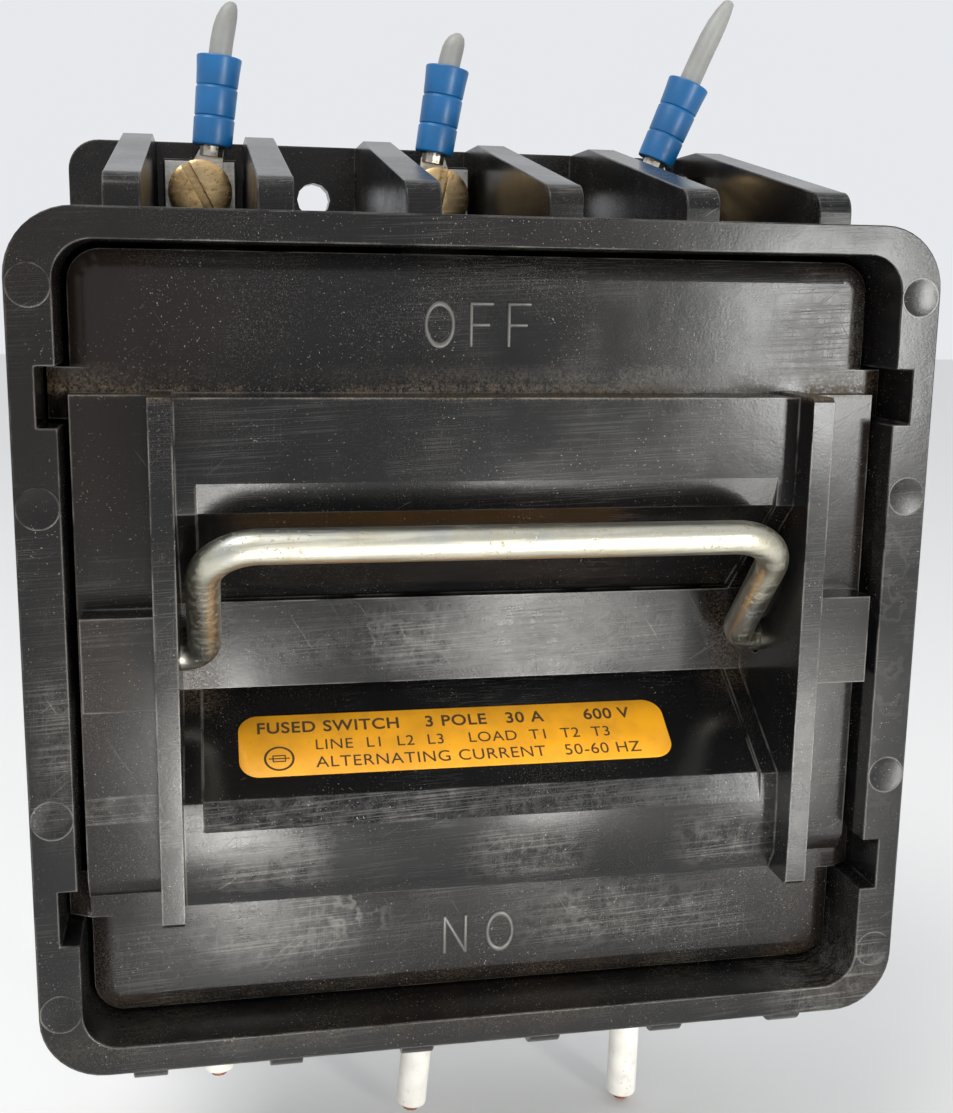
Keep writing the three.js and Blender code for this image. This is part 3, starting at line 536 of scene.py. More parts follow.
def metal(name, bright, tarnish, least_rough, pits, tarnish_share, crevice_shade):
    finish = Finish(name, Metallic=1.0)
    place = finish.place
    cloud = place.noise(240, 5, 0.65).between(0.5 - tarnish_share * 0.3, 0.75) * tarnish_share * 2
    pitting = place.grains(1700, 0.60, 4.0) * place.noise(150, 3, 0.5, 4.0).between(0.42, 0.6)
    streaks = place.scratches(3, 60, 1400, 0.54, 1.0)
    colour = cloud.clamped().blend(bright, tarnish)
    tint = place.noise(130, 3, 0.5, 12.0).between(0.52, 0.66) * 0.45
    tinted = rgb(*(channel * share for channel, share in zip(bright, TINT)))
    colour = tint.blend(colour, tinted)
    colour = (pitting * pits).blend(colour, tarnish)
    # Painted shade: dark brown where ambient occlusion finds a crevice, such as a screw slot.
    if crevice_shade:
        samples = {"samples": Finish.SHADER_SAMPLES}
        open_air = place.made("AmbientOcclusion", samples, {"Distance": CREVICE_SHADE_REACH}, "AO")
        colour = ((1 - open_air.between(0.35, 0.85)) * crevice_shade).blend(colour, CREVICE_SHADE)
    rough = least_rough + cloud * 0.14 + pitting * 0.22 + streaks * 0.10
    finish.bumped(place.noise(900, 3) * 0.5 - pitting * pits - streaks * 0.3, 0.03 * MM, 0.6)
    return finish.wire(Base_Color=colour, Roughness=rough.clamped())


# Name, bright colour, tarnish, least roughness, pits, share of tarnish and painted crevice shade.
METALS = (
    ("zinc_wire", (0.52, 0.505, 0.425), (0.37, 0.34, 0.25), 0.33, 1.0, 0.4, 0.0),
    ("brass_screw", (0.66, 0.46, 0.22), (0.24, 0.15, 0.07), 0.26, 0.5, 0.4, 0.9),
    ("steel_screw", (0.60, 0.60, 0.58), (0.34, 0.32, 0.30), 0.28, 0.4, 0.5, 0.0),
    ("tinned_contact", (0.62, 0.60, 0.55), (0.30, 0.26, 0.21), 0.36, 0.5, 0.5, 0.0),
    ("tinned_lug", (0.58, 0.53, 0.46), (0.20, 0.15, 0.10), 0.34, 0.6, 0.5, 0.0),
    ("bare_conductor", (0.58, 0.24, 0.13), (0.20, 0.07, 0.04), 0.38, 0.4, 0.5, 0.0),
    ("spring_clip", (0.70, 0.38, 0.20), (0.30, 0.15, 0.08), 0.28, 0.3, 0.5, 0.0),
    ("fuse_ferrule", (0.66, 0.60, 0.48), (0.38, 0.32, 0.22), 0.24, 0.3, 0.5, 0.0),
)
for name, bright, tarnish, *recipe in METALS:
    finishes[name] = metal(name, rgb(*bright), rgb(*tarnish), *recipe)
print("metals made:", len(METALS))

# %% [markdown]
# ## Soft plastics, print and paper tube
# Sleeves and wire insulation are vinyl: coloured, faintly uneven and a little dirty. The label is
# a printed foil, so its yellow is even and its gloss comes from a clear coat.


# %% Plastics
DARKER = 0.78


def vinyl(name, colour, dirt_colour, rough, dirt_amount, scatter):
    finish = Finish(name, Subsurface_Weight=scatter, Subsurface_Scale=0.6 * MM)
    place = finish.place
    tone = place.noise(140, 3).between(0.3, 0.7)
    darker = rgb(*(channel * DARKER for channel in colour[:3]))
    dirt = place.noise(380, 6, 0.7, 6.0).between(0.52, 0.76) * dirt_amount
    marks = place.specks(900, 0.2) * place.noise(110, 2).between(0.52, 0.62) * dirt_amount
    shade = dirt.blend(tone.blend(colour, darker), dirt_colour)
    shade = marks.blend(shade, dirt_colour)
    finish.bumped(place.noise(700, 4) + place.noise(120, 2) * 2, 0.04 * MM, 0.5)
    return finish.wire(Base_Color=shade, Roughness=(rough + dirt * 0.3 + tone * 0.06).clamped())


# Name, colour, dirt colour, roughness, amount of dirt and light scattered inside.
PLASTICS = (
    ("blue_sleeve", (0.003, 0.125, 0.340), (0.03, 0.06, 0.12), 0.34, 0.5, 0.0),
    ("grey_wire", (0.30, 0.30, 0.285), (0.17, 0.16, 0.14), 0.45, 0.4, 0.1),
    ("white_wire", (0.80, 0.78, 0.73), (0.34, 0.26, 0.19), 0.42, 0.5, 0.1),
    ("fuse_tube", (0.66, 0.60, 0.44), (0.40, 0.34, 0.24), 0.5, 0.3, 0.0),
    ("label_foil", (0.78, 0.345, 0.010), (0.46, 0.18, 0.02), 0.40, 0.35, 0.0),
    ("raised_letters", (0.085, 0.082, 0.075), (0.02, 0.018, 0.015), 0.32, 0.7, 0.0),
    ("label_ink", (0.055, 0.030, 0.012), (0.12, 0.06, 0.02), 0.5, 0.4, 0.0),
)
FOIL_COAT = 0.25
for name, colour, dirt_colour, *recipe in PLASTICS:
    finishes[name] = vinyl(name, rgb(*colour), rgb(*dirt_colour), *recipe)
foil_shader = finishes["label_foil"].node_tree.nodes["Principled BSDF"]
foil_shader.inputs["Coat Weight"].default_value = FOIL_COAT
print("finishes made:", len(finishes))

# %% [markdown]
# ## Working as by hand
# Operators act on whatever is selected, so every step begins by clearing the selection. A piece
# ends with its place baked into its mesh, its name, its finish and the body that it rides on.


# %% Hand tools
def select_only(thing):
    if bpy.context.object and bpy.context.object.mode != "OBJECT":
        bpy.ops.object.mode_set(mode="OBJECT")
    bpy.ops.object.select_all(action="DESELECT")
    thing.select_set(True)
    bpy.context.view_layer.objects.active = thing


def apply_modifier(thing, kind, **settings):
    select_only(thing)
    modifier = thing.modifiers.new(kind.title(), kind)
    for key, value in settings.items():
        setattr(modifier, key, value)
    bpy.ops.object.modifier_apply(modifier=modifier.name)


def soften(thing, width, segments=2, angle=30):
    apply_modifier(
        thing, "BEVEL", width=width, segments=segments, limit_method="ANGLE",
        angle_limit=radians(angle), use_clamp_overlap=True,
    )


def settle(thing):
    select_only(thing)
    bpy.ops.object.transform_apply(location=True, rotation=True, scale=True)


def smooth(thing, angle=35):
    select_only(thing)
    bpy.ops.object.shade_smooth_by_angle(angle=radians(angle))


def flatten_faces(thing):
    """Keeps large flat faces flat in the light and leaves the shading to the small round ones."""
    apply_modifier(thing, "WEIGHTED_NORMAL", mode="FACE_AREA", weight=100, keep_sharp=True)


def finish_piece(thing, name, finish, body, replaced=()):
    """Gives a piece its name, finish and body. Its slot is named like the finish."""
    thing.name = thing.data.name = name
    thing.data.materials.clear()
    thing.data.materials.append(finishes[finish])
    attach(thing, body)
    if replaced:
        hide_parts(*replaced)
    return thing


def clear_selection():
    bpy.ops.object.select_all(action="DESELECT")


def merge_all(pieces):
    select_only(pieces[0])
    for piece in pieces:
        piece.select_set(True)
    bpy.ops.object.join()
    return bpy.context.object


def copied(thing, matrix):
    select_only(thing)
    bpy.ops.object.duplicate()
    twin = bpy.context.object
    twin.data.transform(matrix)
    return twin


# %% [markdown]
# ## Moulded and stamped parts
# The frame's solids have knife-sharp edges, which no moulding has. A copy of the node is merged,
# its flat faces are joined up again, and a narrow bevel rounds every edge. Real mouldings have
# radii of about half a millimetre, and stamped strips about a fifth of that.


# %% Rounding a copy of a frame node
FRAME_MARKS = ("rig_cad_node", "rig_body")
SAME_PLACE = 0.1 * MM


def is_on_lip(point, height):
    return abs(abs(point.z) - height) < SAME_PLACE and point.y < RIM_Y + SAME_PLACE


def mark_creases(thing, height):
    """Keeps the shallow fold along both lips of the finger channel crisp in the light."""
    select_only(thing)
    bpy.ops.object.mode_set(mode="EDIT")
    bpy.ops.mesh.select_mode(type="EDGE")
    bpy.ops.mesh.select_all(action="DESELECT")
    bpy.ops.object.mode_set(mode="OBJECT")
    points = [vertex.co for vertex in thing.data.vertices]
    for edge in thing.data.edges:
        edge.select = all(is_on_lip(points[index], height) for index in edge.vertices)
    bpy.ops.object.mode_set(mode="EDIT")
    bpy.ops.mesh.mark_sharp()
    bpy.ops.object.mode_set(mode="OBJECT")


def rounded_copy(node, radius, segments, angle=30, crease_height=None):
    select_only(frame["nodes"][node])
    bpy.ops.object.duplicate()
    piece = bpy.context.object
    for key in FRAME_MARKS:
        if key in piece:
            del piece[key]
    piece.parent = None
    piece.data.materials.clear()
    bpy.ops.object.mode_set(mode="EDIT")
    bpy.ops.mesh.select_all(action="SELECT")
    bpy.ops.mesh.remove_doubles(threshold=0.002 * MM)
    bpy.ops.mesh.dissolve_limited(angle_limit=radians(0.6))
    bpy.ops.mesh.customdata_custom_splitnormals_clear()
    bpy.ops.object.mode_set(mode="OBJECT")
    soften(piece, radius, segments, angle)
    smooth(piece)
    if crease_height:
        mark_creases(piece, crease_height)
    flatten_faces(piece)
    return piece


# %% Mouldings
MOULDING_ANGLE = 32
LIP_HEIGHT = 23.5 * MM
housing = rounded_copy("base_housing", 0.5 * MM, 3, MOULDING_ANGLE)
finish_piece(housing, "housing", "housing_phenolic", "base", ["base_housing"])
head = rounded_copy("pullout_head", 0.4 * MM, 3, MOULDING_ANGLE, LIP_HEIGHT)
finish_piece(head, "head", "head_phenolic", "pullout", ["pullout_head"])
print("housing faces:", len(housing.data.polygons), "head faces:", len(head.data.polygons))


# %% Stamped strips, clips and lugs
def stamped(node, name, finish, body):
    finish_piece(rounded_copy(node, 0.12 * MM, 2), name, finish, body, [node])


for pole in POLES:
    for end in ("line", "load"):
        stamped(f"{end}_contact_{pole}", f"{end}_strip_{pole}", "tinned_contact", "base")
        stamped(f"{end}_fuse_clip_{pole}", f"{end}_clip_{pole}", "spring_clip", "pullout")
    stamped(f"line_lug_{pole}", f"lug_{pole}", "tinned_lug", "base")
print("stamped pieces:", 5 * len(POLES))

# %% [markdown]
# ## Ejector marks
# The pins that pushed the housing out of its mould left eight round marks on the rim. Each is a
# shallow dish with a raised lip. It starts as a flat cylinder, and its front is inset and pressed
# in by a few hundredths of a millimetre.

# %% Ejector marks on the rim
EJECTOR_X = 58.8
EJECTOR_Z = (48.1, 20.6)
MARK_RADIUS = 2.75
MARK_HEIGHT = 0.5
MARK_PROUD = 0.07
MARK_LIP = 0.32
MARK_DISH = 0.06


def select_front_faces(thing, y_direction=-1.0):
    """Selects the faces that look along Y, in edit mode."""
    bpy.ops.object.mode_set(mode="EDIT")
    bpy.ops.mesh.select_mode(type="FACE")
    bpy.ops.mesh.select_all(action="DESELECT")
    bpy.ops.object.mode_set(mode="OBJECT")
    for face in thing.data.polygons:
        face.select = face.normal.y * y_direction > 0.99
    bpy.ops.object.mode_set(mode="EDIT")


def ejector_mark(x, z):
    clear_selection()
    bpy.ops.mesh.primitive_cylinder_add(
        vertices=48, radius=MARK_RADIUS * MM, depth=MARK_HEIGHT * MM,
        location=at(x, MARK_HEIGHT / 2 - MARK_PROUD, z), rotation=(radians(90), 0, 0),
    )
    mark = bpy.context.object
    settle(mark)
    select_front_faces(mark)
    bpy.ops.mesh.inset(thickness=MARK_LIP * MM)
    bpy.ops.transform.translate(value=(0, MARK_DISH * MM, 0))
    bpy.ops.object.mode_set(mode="OBJECT")
    soften(mark, 0.03 * MM, 2, 20)
    return mark


marks = merge_all([
    ejector_mark(side * EJECTOR_X, end * z)
    for side in (-1, 1) for end in (-1, 1) for z in EJECTOR_Z
])
smooth(marks)
finish_piece(marks, "ejector_marks", "housing_phenolic", "base")
print("ejector marks:", len(marks.data.polygons), "faces")

# %% [markdown]
# ## OFF and ON
# The head can be put in either way up, so one band reads OFF upright and the other reads ON
# upside down. The letters are thin round strokes raised from the face. Each stroke is a slim
# cylinder half sunk in the band, and the O is a torus stretched taller.

# %% Strokes and rings
STROKE = 0.26
LETTER_HEIGHT = 5.6
LETTER_WIDTH = 3.7
BAND_DEPTH = 7.4


def stroke(start, end):
    """A slim rod on the band between two (x, z) points in millimetres."""
    first, last = at(start[0], BAND_DEPTH, start[1]), at(end[0], BAND_DEPTH, end[1])
    line = last - first
    clear_selection()
    bpy.ops.mesh.primitive_cylinder_add(
        vertices=12, radius=STROKE * MM, depth=line.length + STROKE * MM
    )
    rod = bpy.context.object
    rod.rotation_euler = line.to_track_quat("Z", "Y").to_euler()
    rod.location = (first + last) / 2
    settle(rod)
    soften(rod, STROKE * 0.4 * MM)
    return rod


def ring(x, z):
    clear_selection()
    bpy.ops.mesh.primitive_torus_add(
        major_radius=LETTER_WIDTH / 2 * MM, minor_radius=STROKE * MM, major_segments=48,
        minor_segments=10, rotation=(radians(90), 0, 0), location=at(x, BAND_DEPTH, z),
    )
    letter = bpy.context.object
    letter.scale = (1.0, LETTER_HEIGHT / LETTER_WIDTH, 1.0)
    settle(letter)
    return letter


print("letter height in mm:", LETTER_HEIGHT)

# %% Raised letters
LEFT, RIGHT = -LETTER_WIDTH * 0.42, LETTER_WIDTH * 0.42
TOP, FOOT = LETTER_HEIGHT / 2, -LETTER_HEIGHT / 2
F_LEFT = -LETTER_WIDTH * 0.38
F_MIDDLE_BAR = RIGHT - 0.5
# Each letter is the strokes that it is drawn with, and the O has none because it is a ring.
LETTERS = {
    "F": (((F_LEFT, FOOT), (F_LEFT, TOP)), ((F_LEFT, TOP), (RIGHT, TOP)),
          ((F_LEFT, 0), (F_MIDDLE_BAR, 0))),
    "N": (((LEFT, FOOT), (LEFT, TOP)), ((LEFT, TOP), (RIGHT, FOOT)), ((RIGHT, FOOT), (RIGHT, TOP))),
    "O": (),
}


def letter_pieces(letter, x, z):
    lines = [
        stroke((x + start[0], z + start[1]), (x + end[0], z + end[1]))
        for start, end in LETTERS[letter]
    ]
    return lines or [ring(x, z)]


def switch_mark(name, places, z):
    mark = merge_all([piece for letter, x in places for piece in letter_pieces(letter, x, z)])
    smooth(mark)
    finish_piece(mark, name, "raised_letters", "pullout")
    print(name, "has", len(mark.data.polygons), "faces")


switch_mark("off_mark", (("O", -6.9), ("F", -1.2), ("F", 4.0)), 43.7)
switch_mark("on_mark", (("N", -3.8), ("O", 2.9)), -44.4)

# %% [markdown]
# ## Rating label
# A yellow foil sticker lies on the slope below the pedestal. It starts as a plane, its corners
# are rounded by a vertex bevel, and it is given the thickness of foil. It is made lying flat at
# the middle of the scene, where sizes are easy to give, and then tilted and laid on the slope.

# %% Label foil
SLOPE_ANGLE = atan2(11.2, 17.2)
LABEL_SIZE = (62.2, 10.7)
LABEL_CORNER = 2.8
FOIL_THICKNESS = 0.12
# The middle of the sticker's box stands this far out from the slope.
BOX_ABOVE_SLOPE = 0.42
label_low, label_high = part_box("rating_label")
label_centre = (label_low + label_high) / 2
slope_up = Vector((0, cos(SLOPE_ANGLE), sin(SLOPE_ANGLE)))
slope_out = Vector((0, -sin(SLOPE_ANGLE), cos(SLOPE_ANGLE)))


def on_label(across, up, proud=0.0):
    """A point on the sticker in millimetres from its middle."""
    along = Vector((across * MM, 0, 0)) + slope_up * (up * MM)
    return label_centre + along + slope_out * ((proud - BOX_ABOVE_SLOPE) * MM)


def lay_on_slope(thing, origin):
    thing.rotation_euler = (SLOPE_ANGLE, 0, 0)
    thing.location = origin
    settle(thing)


clear_selection()
bpy.ops.mesh.primitive_plane_add(size=MM)
foil = bpy.context.object
foil.scale = (*LABEL_SIZE, 1)
settle(foil)
bpy.ops.object.mode_set(mode="EDIT")
bpy.ops.mesh.select_all(action="SELECT")
bpy.ops.mesh.bevel(offset=LABEL_CORNER * MM, segments=10, affect="VERTICES")
bpy.ops.mesh.extrude_region_move(TRANSFORM_OT_translate={"value": (0, 0, FOIL_THICKNESS * MM)})
bpy.ops.mesh.select_all(action="SELECT")
bpy.ops.mesh.normals_make_consistent(inside=False)
bpy.ops.object.mode_set(mode="OBJECT")
soften(foil, 0.03 * MM, 2)
smooth(foil)
lay_on_slope(foil, on_label(0, 0))
finish_piece(foil, "label", "label_foil", "pullout", ["rating_label"])
print("label:", len(foil.data.polygons), "faces")

# %% [markdown]
# ## Label print
# The print gives ratings only, in three lines beside a round mark. Each line is a text object,
# which is made a mesh before it is tilted. It stands a hair above the foil, so the two surfaces
# never lie in the same place and flicker.

# %% Lines of print
SIZE_PER_HEIGHT = 1.38
INK_THICKNESS = 0.015
LETTER_SPACING = 1.08
BOLD = 0.05
# Words, place across and up the label, height of the capitals and thickening.
LINES = (
    ("FUSED SWITCH", -28.6, 2.15, 2.0, BOLD),
    ("3 POLE   30 A", -4.6, 2.15, 2.0, BOLD),
    ("600 V", 19.0, 2.15, 2.0, BOLD),
    ("LINE  L1  L2  L3    LOAD  T1  T2  T3", -20.6, -1.05, 1.85, 0.0),
    ("ALTERNATING CURRENT   50-60 HZ", -20.6, -4.15, 1.95, 0.0),
)


def printed(words, across, up, height, bold):
    clear_selection()
    bpy.ops.object.text_add()
    text = bpy.context.object
    text.data.body = words
    text.data.size = height * SIZE_PER_HEIGHT * MM
    text.data.offset = bold * MM
    text.data.extrude = INK_THICKNESS * MM
    text.data.space_character = LETTER_SPACING
    bpy.ops.object.convert(target="MESH")
    text = bpy.context.object
    lay_on_slope(text, on_label(across, up, 0.125))
    return text


print("lines of print:", len(LINES))

# %% Round mark
LINE_WIDTH = 0.16
# Width, height, x and y of the bars: the line through the fuse, and the four sides of its box.
SYMBOL_BARS = (
    (2.9, LINE_WIDTH, 0, 0), (1.7, LINE_WIDTH, 0, 0.5), (1.7, LINE_WIDTH, 0, -0.5),
    (LINE_WIDTH, 1.1, -0.85, 0), (LINE_WIDTH, 1.1, 0.85, 0),
)


def fuse_symbol(across, up, radius):
    """A plain ring with a fuse drawn in it: a line through a narrow box."""
    clear_selection()
    bpy.ops.mesh.primitive_torus_add(
        major_radius=radius * MM, minor_radius=LINE_WIDTH * MM, major_segments=48, minor_segments=8
    )
    ring_mark = bpy.context.object
    ring_mark.scale = (1, 1, 0.2)
    settle(ring_mark)
    bars = [ring_mark]
    for width, height, x, y in SYMBOL_BARS:
        clear_selection()
        bpy.ops.mesh.primitive_cube_add(size=MM, location=(x * MM, y * MM, 0))
        bar = bpy.context.object
        bar.scale = (width, height, 0.04)
        settle(bar)
        bars.append(bar)
    symbol = merge_all(bars)
    lay_on_slope(symbol, on_label(across, up, 0.13))
    return symbol


label_print = merge_all([*(printed(*line) for line in LINES), fuse_symbol(-25.6, -2.35, 1.95)])
finish_piece(label_print, "label_print", "label_ink", "pullout")
print("label print:", len(label_print.data.polygons), "faces")

# %% [markdown]
# ## Wire bail
# One piece of round steel wire is bent into pins, legs and a grip bar. A ring of points is
# extruded along each straight stretch and spun through each bend, just as the wire was bent
# round a mandrel. The ends are then closed and rounded.

# %% Bending tools
PIVOT = at(0, 11.5, -1.8)
REST_ANGLE = radians(47.5)
WIRE_RADIUS = 2.3
PIN_END = 46.4
LEG_X = 38.8
BAIL_LENGTH = 24.4
PIN_BEND = 3.2
GRIP_BEND = 7.2
GRIP_STEPS = 6
BEND_STEPS = 12
JOIN_WITHIN = 0.005 * MM
outward = Vector((0, -cos(REST_ANGLE), sin(REST_ANGLE)))
across = Vector((1, 0, 0))
bail_normal = across.cross(outward)


def on_bail(x, along):
    return PIVOT + across * (x * MM) + outward * (along * MM)


def run(distance, direction):
    bpy.ops.mesh.extrude_region_move(TRANSFORM_OT_translate={"value": direction * (distance * MM)})


def bend(x, along, quarter_turns):
    """Spins the open end round a point beside the wire. Spin turns by the angle's negative."""
    angle = radians(-90) * quarter_turns
    bpy.ops.mesh.spin(steps=BEND_STEPS, angle=angle, center=on_bail(x, along), axis=bail_normal)


def cap_open_ends():
    """Closes each open ring of edges with a face."""
    bpy.ops.mesh.select_all(action="DESELECT")
    bpy.ops.mesh.select_non_manifold(
        extend=False, use_wire=False, use_boundary=True, use_multi_face=False,
        use_non_contiguous=False, use_verts=False,
    )
    bpy.ops.mesh.edge_face_add()
    bpy.ops.mesh.select_all(action="SELECT")


print("bail leans out at", round(REST_ANGLE / radians(1), 1), "degrees")

# %% Bail
clear_selection()
bpy.ops.mesh.primitive_circle_add(
    vertices=32, radius=WIRE_RADIUS * MM, location=on_bail(-PIN_END, 0),
    rotation=(0, radians(90), 0),
)
bail = bpy.context.object
settle(bail)
bpy.ops.object.mode_set(mode="EDIT")
bpy.ops.mesh.select_mode(type="EDGE")
bpy.ops.mesh.select_all(action="SELECT")
run(PIN_END - LEG_X - PIN_BEND, across)
bend(-LEG_X - PIN_BEND, PIN_BEND, 1)
run(BAIL_LENGTH - PIN_BEND - GRIP_BEND, outward)
bend(GRIP_BEND - LEG_X, BAIL_LENGTH - GRIP_BEND, -1)
for _ in range(GRIP_STEPS):
    run(2 * (LEG_X - GRIP_BEND) / GRIP_STEPS, across)
bend(LEG_X - GRIP_BEND, BAIL_LENGTH - GRIP_BEND, -1)
run(BAIL_LENGTH - PIN_BEND - GRIP_BEND, -outward)
bend(LEG_X + PIN_BEND, PIN_BEND, 1)
run(PIN_END - LEG_X - PIN_BEND, across)
cap_open_ends()
bpy.ops.mesh.remove_doubles(threshold=JOIN_WITHIN)
bpy.ops.mesh.normals_make_consistent(inside=False)
bpy.ops.object.mode_set(mode="OBJECT")
soften(bail, 0.5 * MM, 3, 60)
smooth(bail, 50)
finish_piece(bail, "bail", "zinc_wire", "handle", ["bail_handle"])
print("bail:", len(bail.data.polygons), "faces, box", [round(v / MM, 1) for v in bail.dimensions])

# %% [markdown]
# ## Slotted screws
# Every screw here is a turned pan head with a straight slot. One is modelled: a cylinder whose
# front is inset and pushed out into a low dome, whose back is inset and extruded into the shank,
# and whose slot is cut by a bar. The others are copies at their own size, place and slot angle.


# %% Screw model
# Share of the head's radius that each inset takes, and share of its height that it rises.
DOME_STEPS = ((0.16, 0.10), (0.30, 0.06), (0.25, 0.03))


def cut_slot(screw, head_radius, head_height):
    clear_selection()
    bpy.ops.mesh.primitive_cube_add(size=MM, location=(0, -head_height * 1.05 * MM, 0))
    bar = bpy.context.object
    bar.scale = (head_radius * 3, head_height * 0.9, head_radius * 0.28)
    settle(bar)
    apply_modifier(screw, "BOOLEAN", object=bar, operation="DIFFERENCE", solver="EXACT")
    bpy.data.objects.remove(bar)


def slotted_screw(head_radius, head_height, shank_radius, shank_length):
    """Head towards -Y with its underside at y = 0, sizes in millimetres."""
    clear_selection()
    bpy.ops.mesh.primitive_cylinder_add(
        vertices=48, radius=head_radius * MM, depth=head_height * MM,
        location=(0, -head_height / 2 * MM, 0), rotation=(radians(90), 0, 0),
    )
    screw = bpy.context.object
    settle(screw)
    select_front_faces(screw, 1.0)
    bpy.ops.mesh.inset(thickness=(head_radius - shank_radius) * MM)
    bpy.ops.mesh.extrude_region_move(TRANSFORM_OT_translate={"value": (0, shank_length * MM, 0)})
    select_front_faces(screw)
    for thickness, rise in DOME_STEPS:
        bpy.ops.mesh.inset(thickness=head_radius * thickness * MM)
        bpy.ops.transform.translate(value=(0, -rise * head_height * MM, 0))
    bpy.ops.object.mode_set(mode="OBJECT")
    cut_slot(screw, head_radius, head_height)
    soften(screw, 0.09 * MM, 2, 28)
    smooth(screw, 40)
    return screw


# Radius and height of the head, then radius and length of the shank.
SCREW_SIZES = {
    "terminal": (4.95, 2.6, 2.4, 13.0),
    "contact": (3.6, 1.9, 1.9, 7.5),
    "clip": (3.2, 1.9, 1.6, 8.0),
}
screw_models = {kind: slotted_screw(*sizes) for kind, sizes in SCREW_SIZES.items()}
print("screw models:", len(screw_models))


# %% Placing the screws
def place_screw(kind, node, finish, body, slot_angle, faces_back=False):
    """Copies a screw so that its shank ends where the frame's own screw ends."""
    low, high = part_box(node)
    centre = (low + high) / 2
    shank = SCREW_SIZES[kind][-1] * MM
    seat = low.y + shank if faces_back else high.y - shank
    turn = Matrix.Rotation(radians(slot_angle), 4, "Y")
    flip = Matrix.Rotation(radians(180), 4, "Z") if faces_back else Matrix.Identity(4)
    place = Matrix.Translation((centre.x, seat, centre.z))
    screw = copied(screw_models[kind], place @ flip @ turn)
    finish_piece(screw, node.replace("_screw", "_bolt"), finish, body, [node])


LINE_SLOT_ANGLES = (62, 102, 142)
for pole in POLES:
    for end, further in (("line", 0), ("load", 37)):
        angle = LINE_SLOT_ANGLES[pole - 1] + further
        place_screw("terminal", f"{end}_terminal_screw_{pole}", "brass_screw", "base", angle)
        place_screw("contact", f"{end}_contact_screw_{pole}", "steel_screw", "base", 20 * pole)
        place_screw("clip", f"{end}_clip_screw_{pole}", "steel_screw", "pullout", 35 * pole, True)
for model in screw_models.values():
    bpy.data.objects.remove(model)
print("screws placed:", 6 * len(POLES))

# %% [markdown]
# ## Turned shapes: sleeves, stubs and fuses
# Sleeves, wire stubs and fuse ferrules are all round. A circle is extruded upwards ring by ring
# and each ring is scaled to its radius, which is the same as turning the outline on a lathe. An
# outline that returns to its first ring makes a hollow piece.


# %% Turning by extrude and scale
SWAY_POWER = 4


def turned(rings, hollow=False, vertices=40, sway=0.0):
    """A round shape from (radius, height) pairs in millimetres, from the bottom up.

    The top leans aside by the sway, and most of the bend is near the tip.
    """
    base, span = rings[0][1], max(height for _, height in rings) - rings[0][1]

    def aside(height):
        return -sway * ((height - base) / span) ** SWAY_POWER

    clear_selection()
    first_radius, first_height = rings[0]
    bpy.ops.mesh.primitive_circle_add(
        vertices=vertices, radius=first_radius * MM, location=(0, 0, first_height * MM)
    )
    piece = bpy.context.object
    settle(piece)
    bpy.ops.object.mode_set(mode="EDIT")
    bpy.ops.mesh.select_mode(type="EDGE")
    bpy.ops.mesh.select_all(action="SELECT")
    for (radius, height), (next_radius, next_height) in zip(rings, rings[1:]):
        rise = (0, (aside(next_height) - aside(height)) * MM, (next_height - height) * MM)
        bpy.ops.mesh.extrude_region_move(TRANSFORM_OT_translate={"value": rise})
        share = next_radius / radius
        centre = (0, aside(next_height) * MM, next_height * MM)
        bpy.ops.transform.resize(value=(share, share, 1), center_override=centre)
    bpy.ops.mesh.select_all(action="SELECT")
    if hollow:
        bpy.ops.mesh.remove_doubles(threshold=JOIN_WITHIN)
    else:
        cap_open_ends()
    bpy.ops.mesh.normals_make_consistent(inside=False)
    bpy.ops.object.mode_set(mode="OBJECT")
    return piece


def aimed(place, direction):
    """The matrix that stands an upright piece at a place, along a direction."""
    return Matrix.Translation(place) @ direction.to_track_quat("Z", "Y").to_matrix().to_4x4()


def finish_turned(piece, matrix, rounding, angle):
    """Puts a turned piece in its place and rounds its edges."""
    piece.data.transform(matrix)
    soften(piece, rounding * MM, 2, 25)
    smooth(piece, angle)


print("turning tools ready")

# %% Outlines of a sleeve and a stub
POLE_PITCH = 38.1
LUG_DEPTH = 54.0
LUG_TOP = 70.2
SLEEVE_LENGTH = 13.6
SLEEVE_BORE = 2.25
SLEEVE_RINGS = (
    (SLEEVE_BORE, 0.0), (3.0, 0.0), (3.12, 0.2), (3.2, 4.1), (3.02, 4.3), (3.02, 4.45), (3.16, 4.6),
    (3.27, 8.7), (3.08, 8.9), (3.08, 9.05), (3.24, 9.2), (3.36, 11.5), (3.52, SLEEVE_LENGTH - 0.2),
    (3.42, SLEEVE_LENGTH), (SLEEVE_BORE, SLEEVE_LENGTH), (SLEEVE_BORE, 0.0),
)
# For each pole: lean to the right and forward in degrees, shift, length of stub and its sway.
LUG_LEANS = ((6, 1, 2.0, 8.4, 1.2), (9, 1, -0.4, 5.6, 0.8), (22, 4, -0.6, 14.6, 0.8))


def stub_rings(stub):
    """A wire that stands above its sleeve and narrows to a blunt cut tip."""
    top = SLEEVE_LENGTH + stub
    return (
        (1.8, 6.4), (1.8, 9.4), (1.8, 12.0), (1.8, SLEEVE_LENGTH),
        (1.79, SLEEVE_LENGTH + stub * 0.3), (1.76, top - stub * 0.45), (1.62, top - stub * 0.28),
        (1.3, top - stub * 0.13), (0.9, top - 0.35), (0.45, top),
    )


print("sleeve rings:", len(SLEEVE_RINGS))

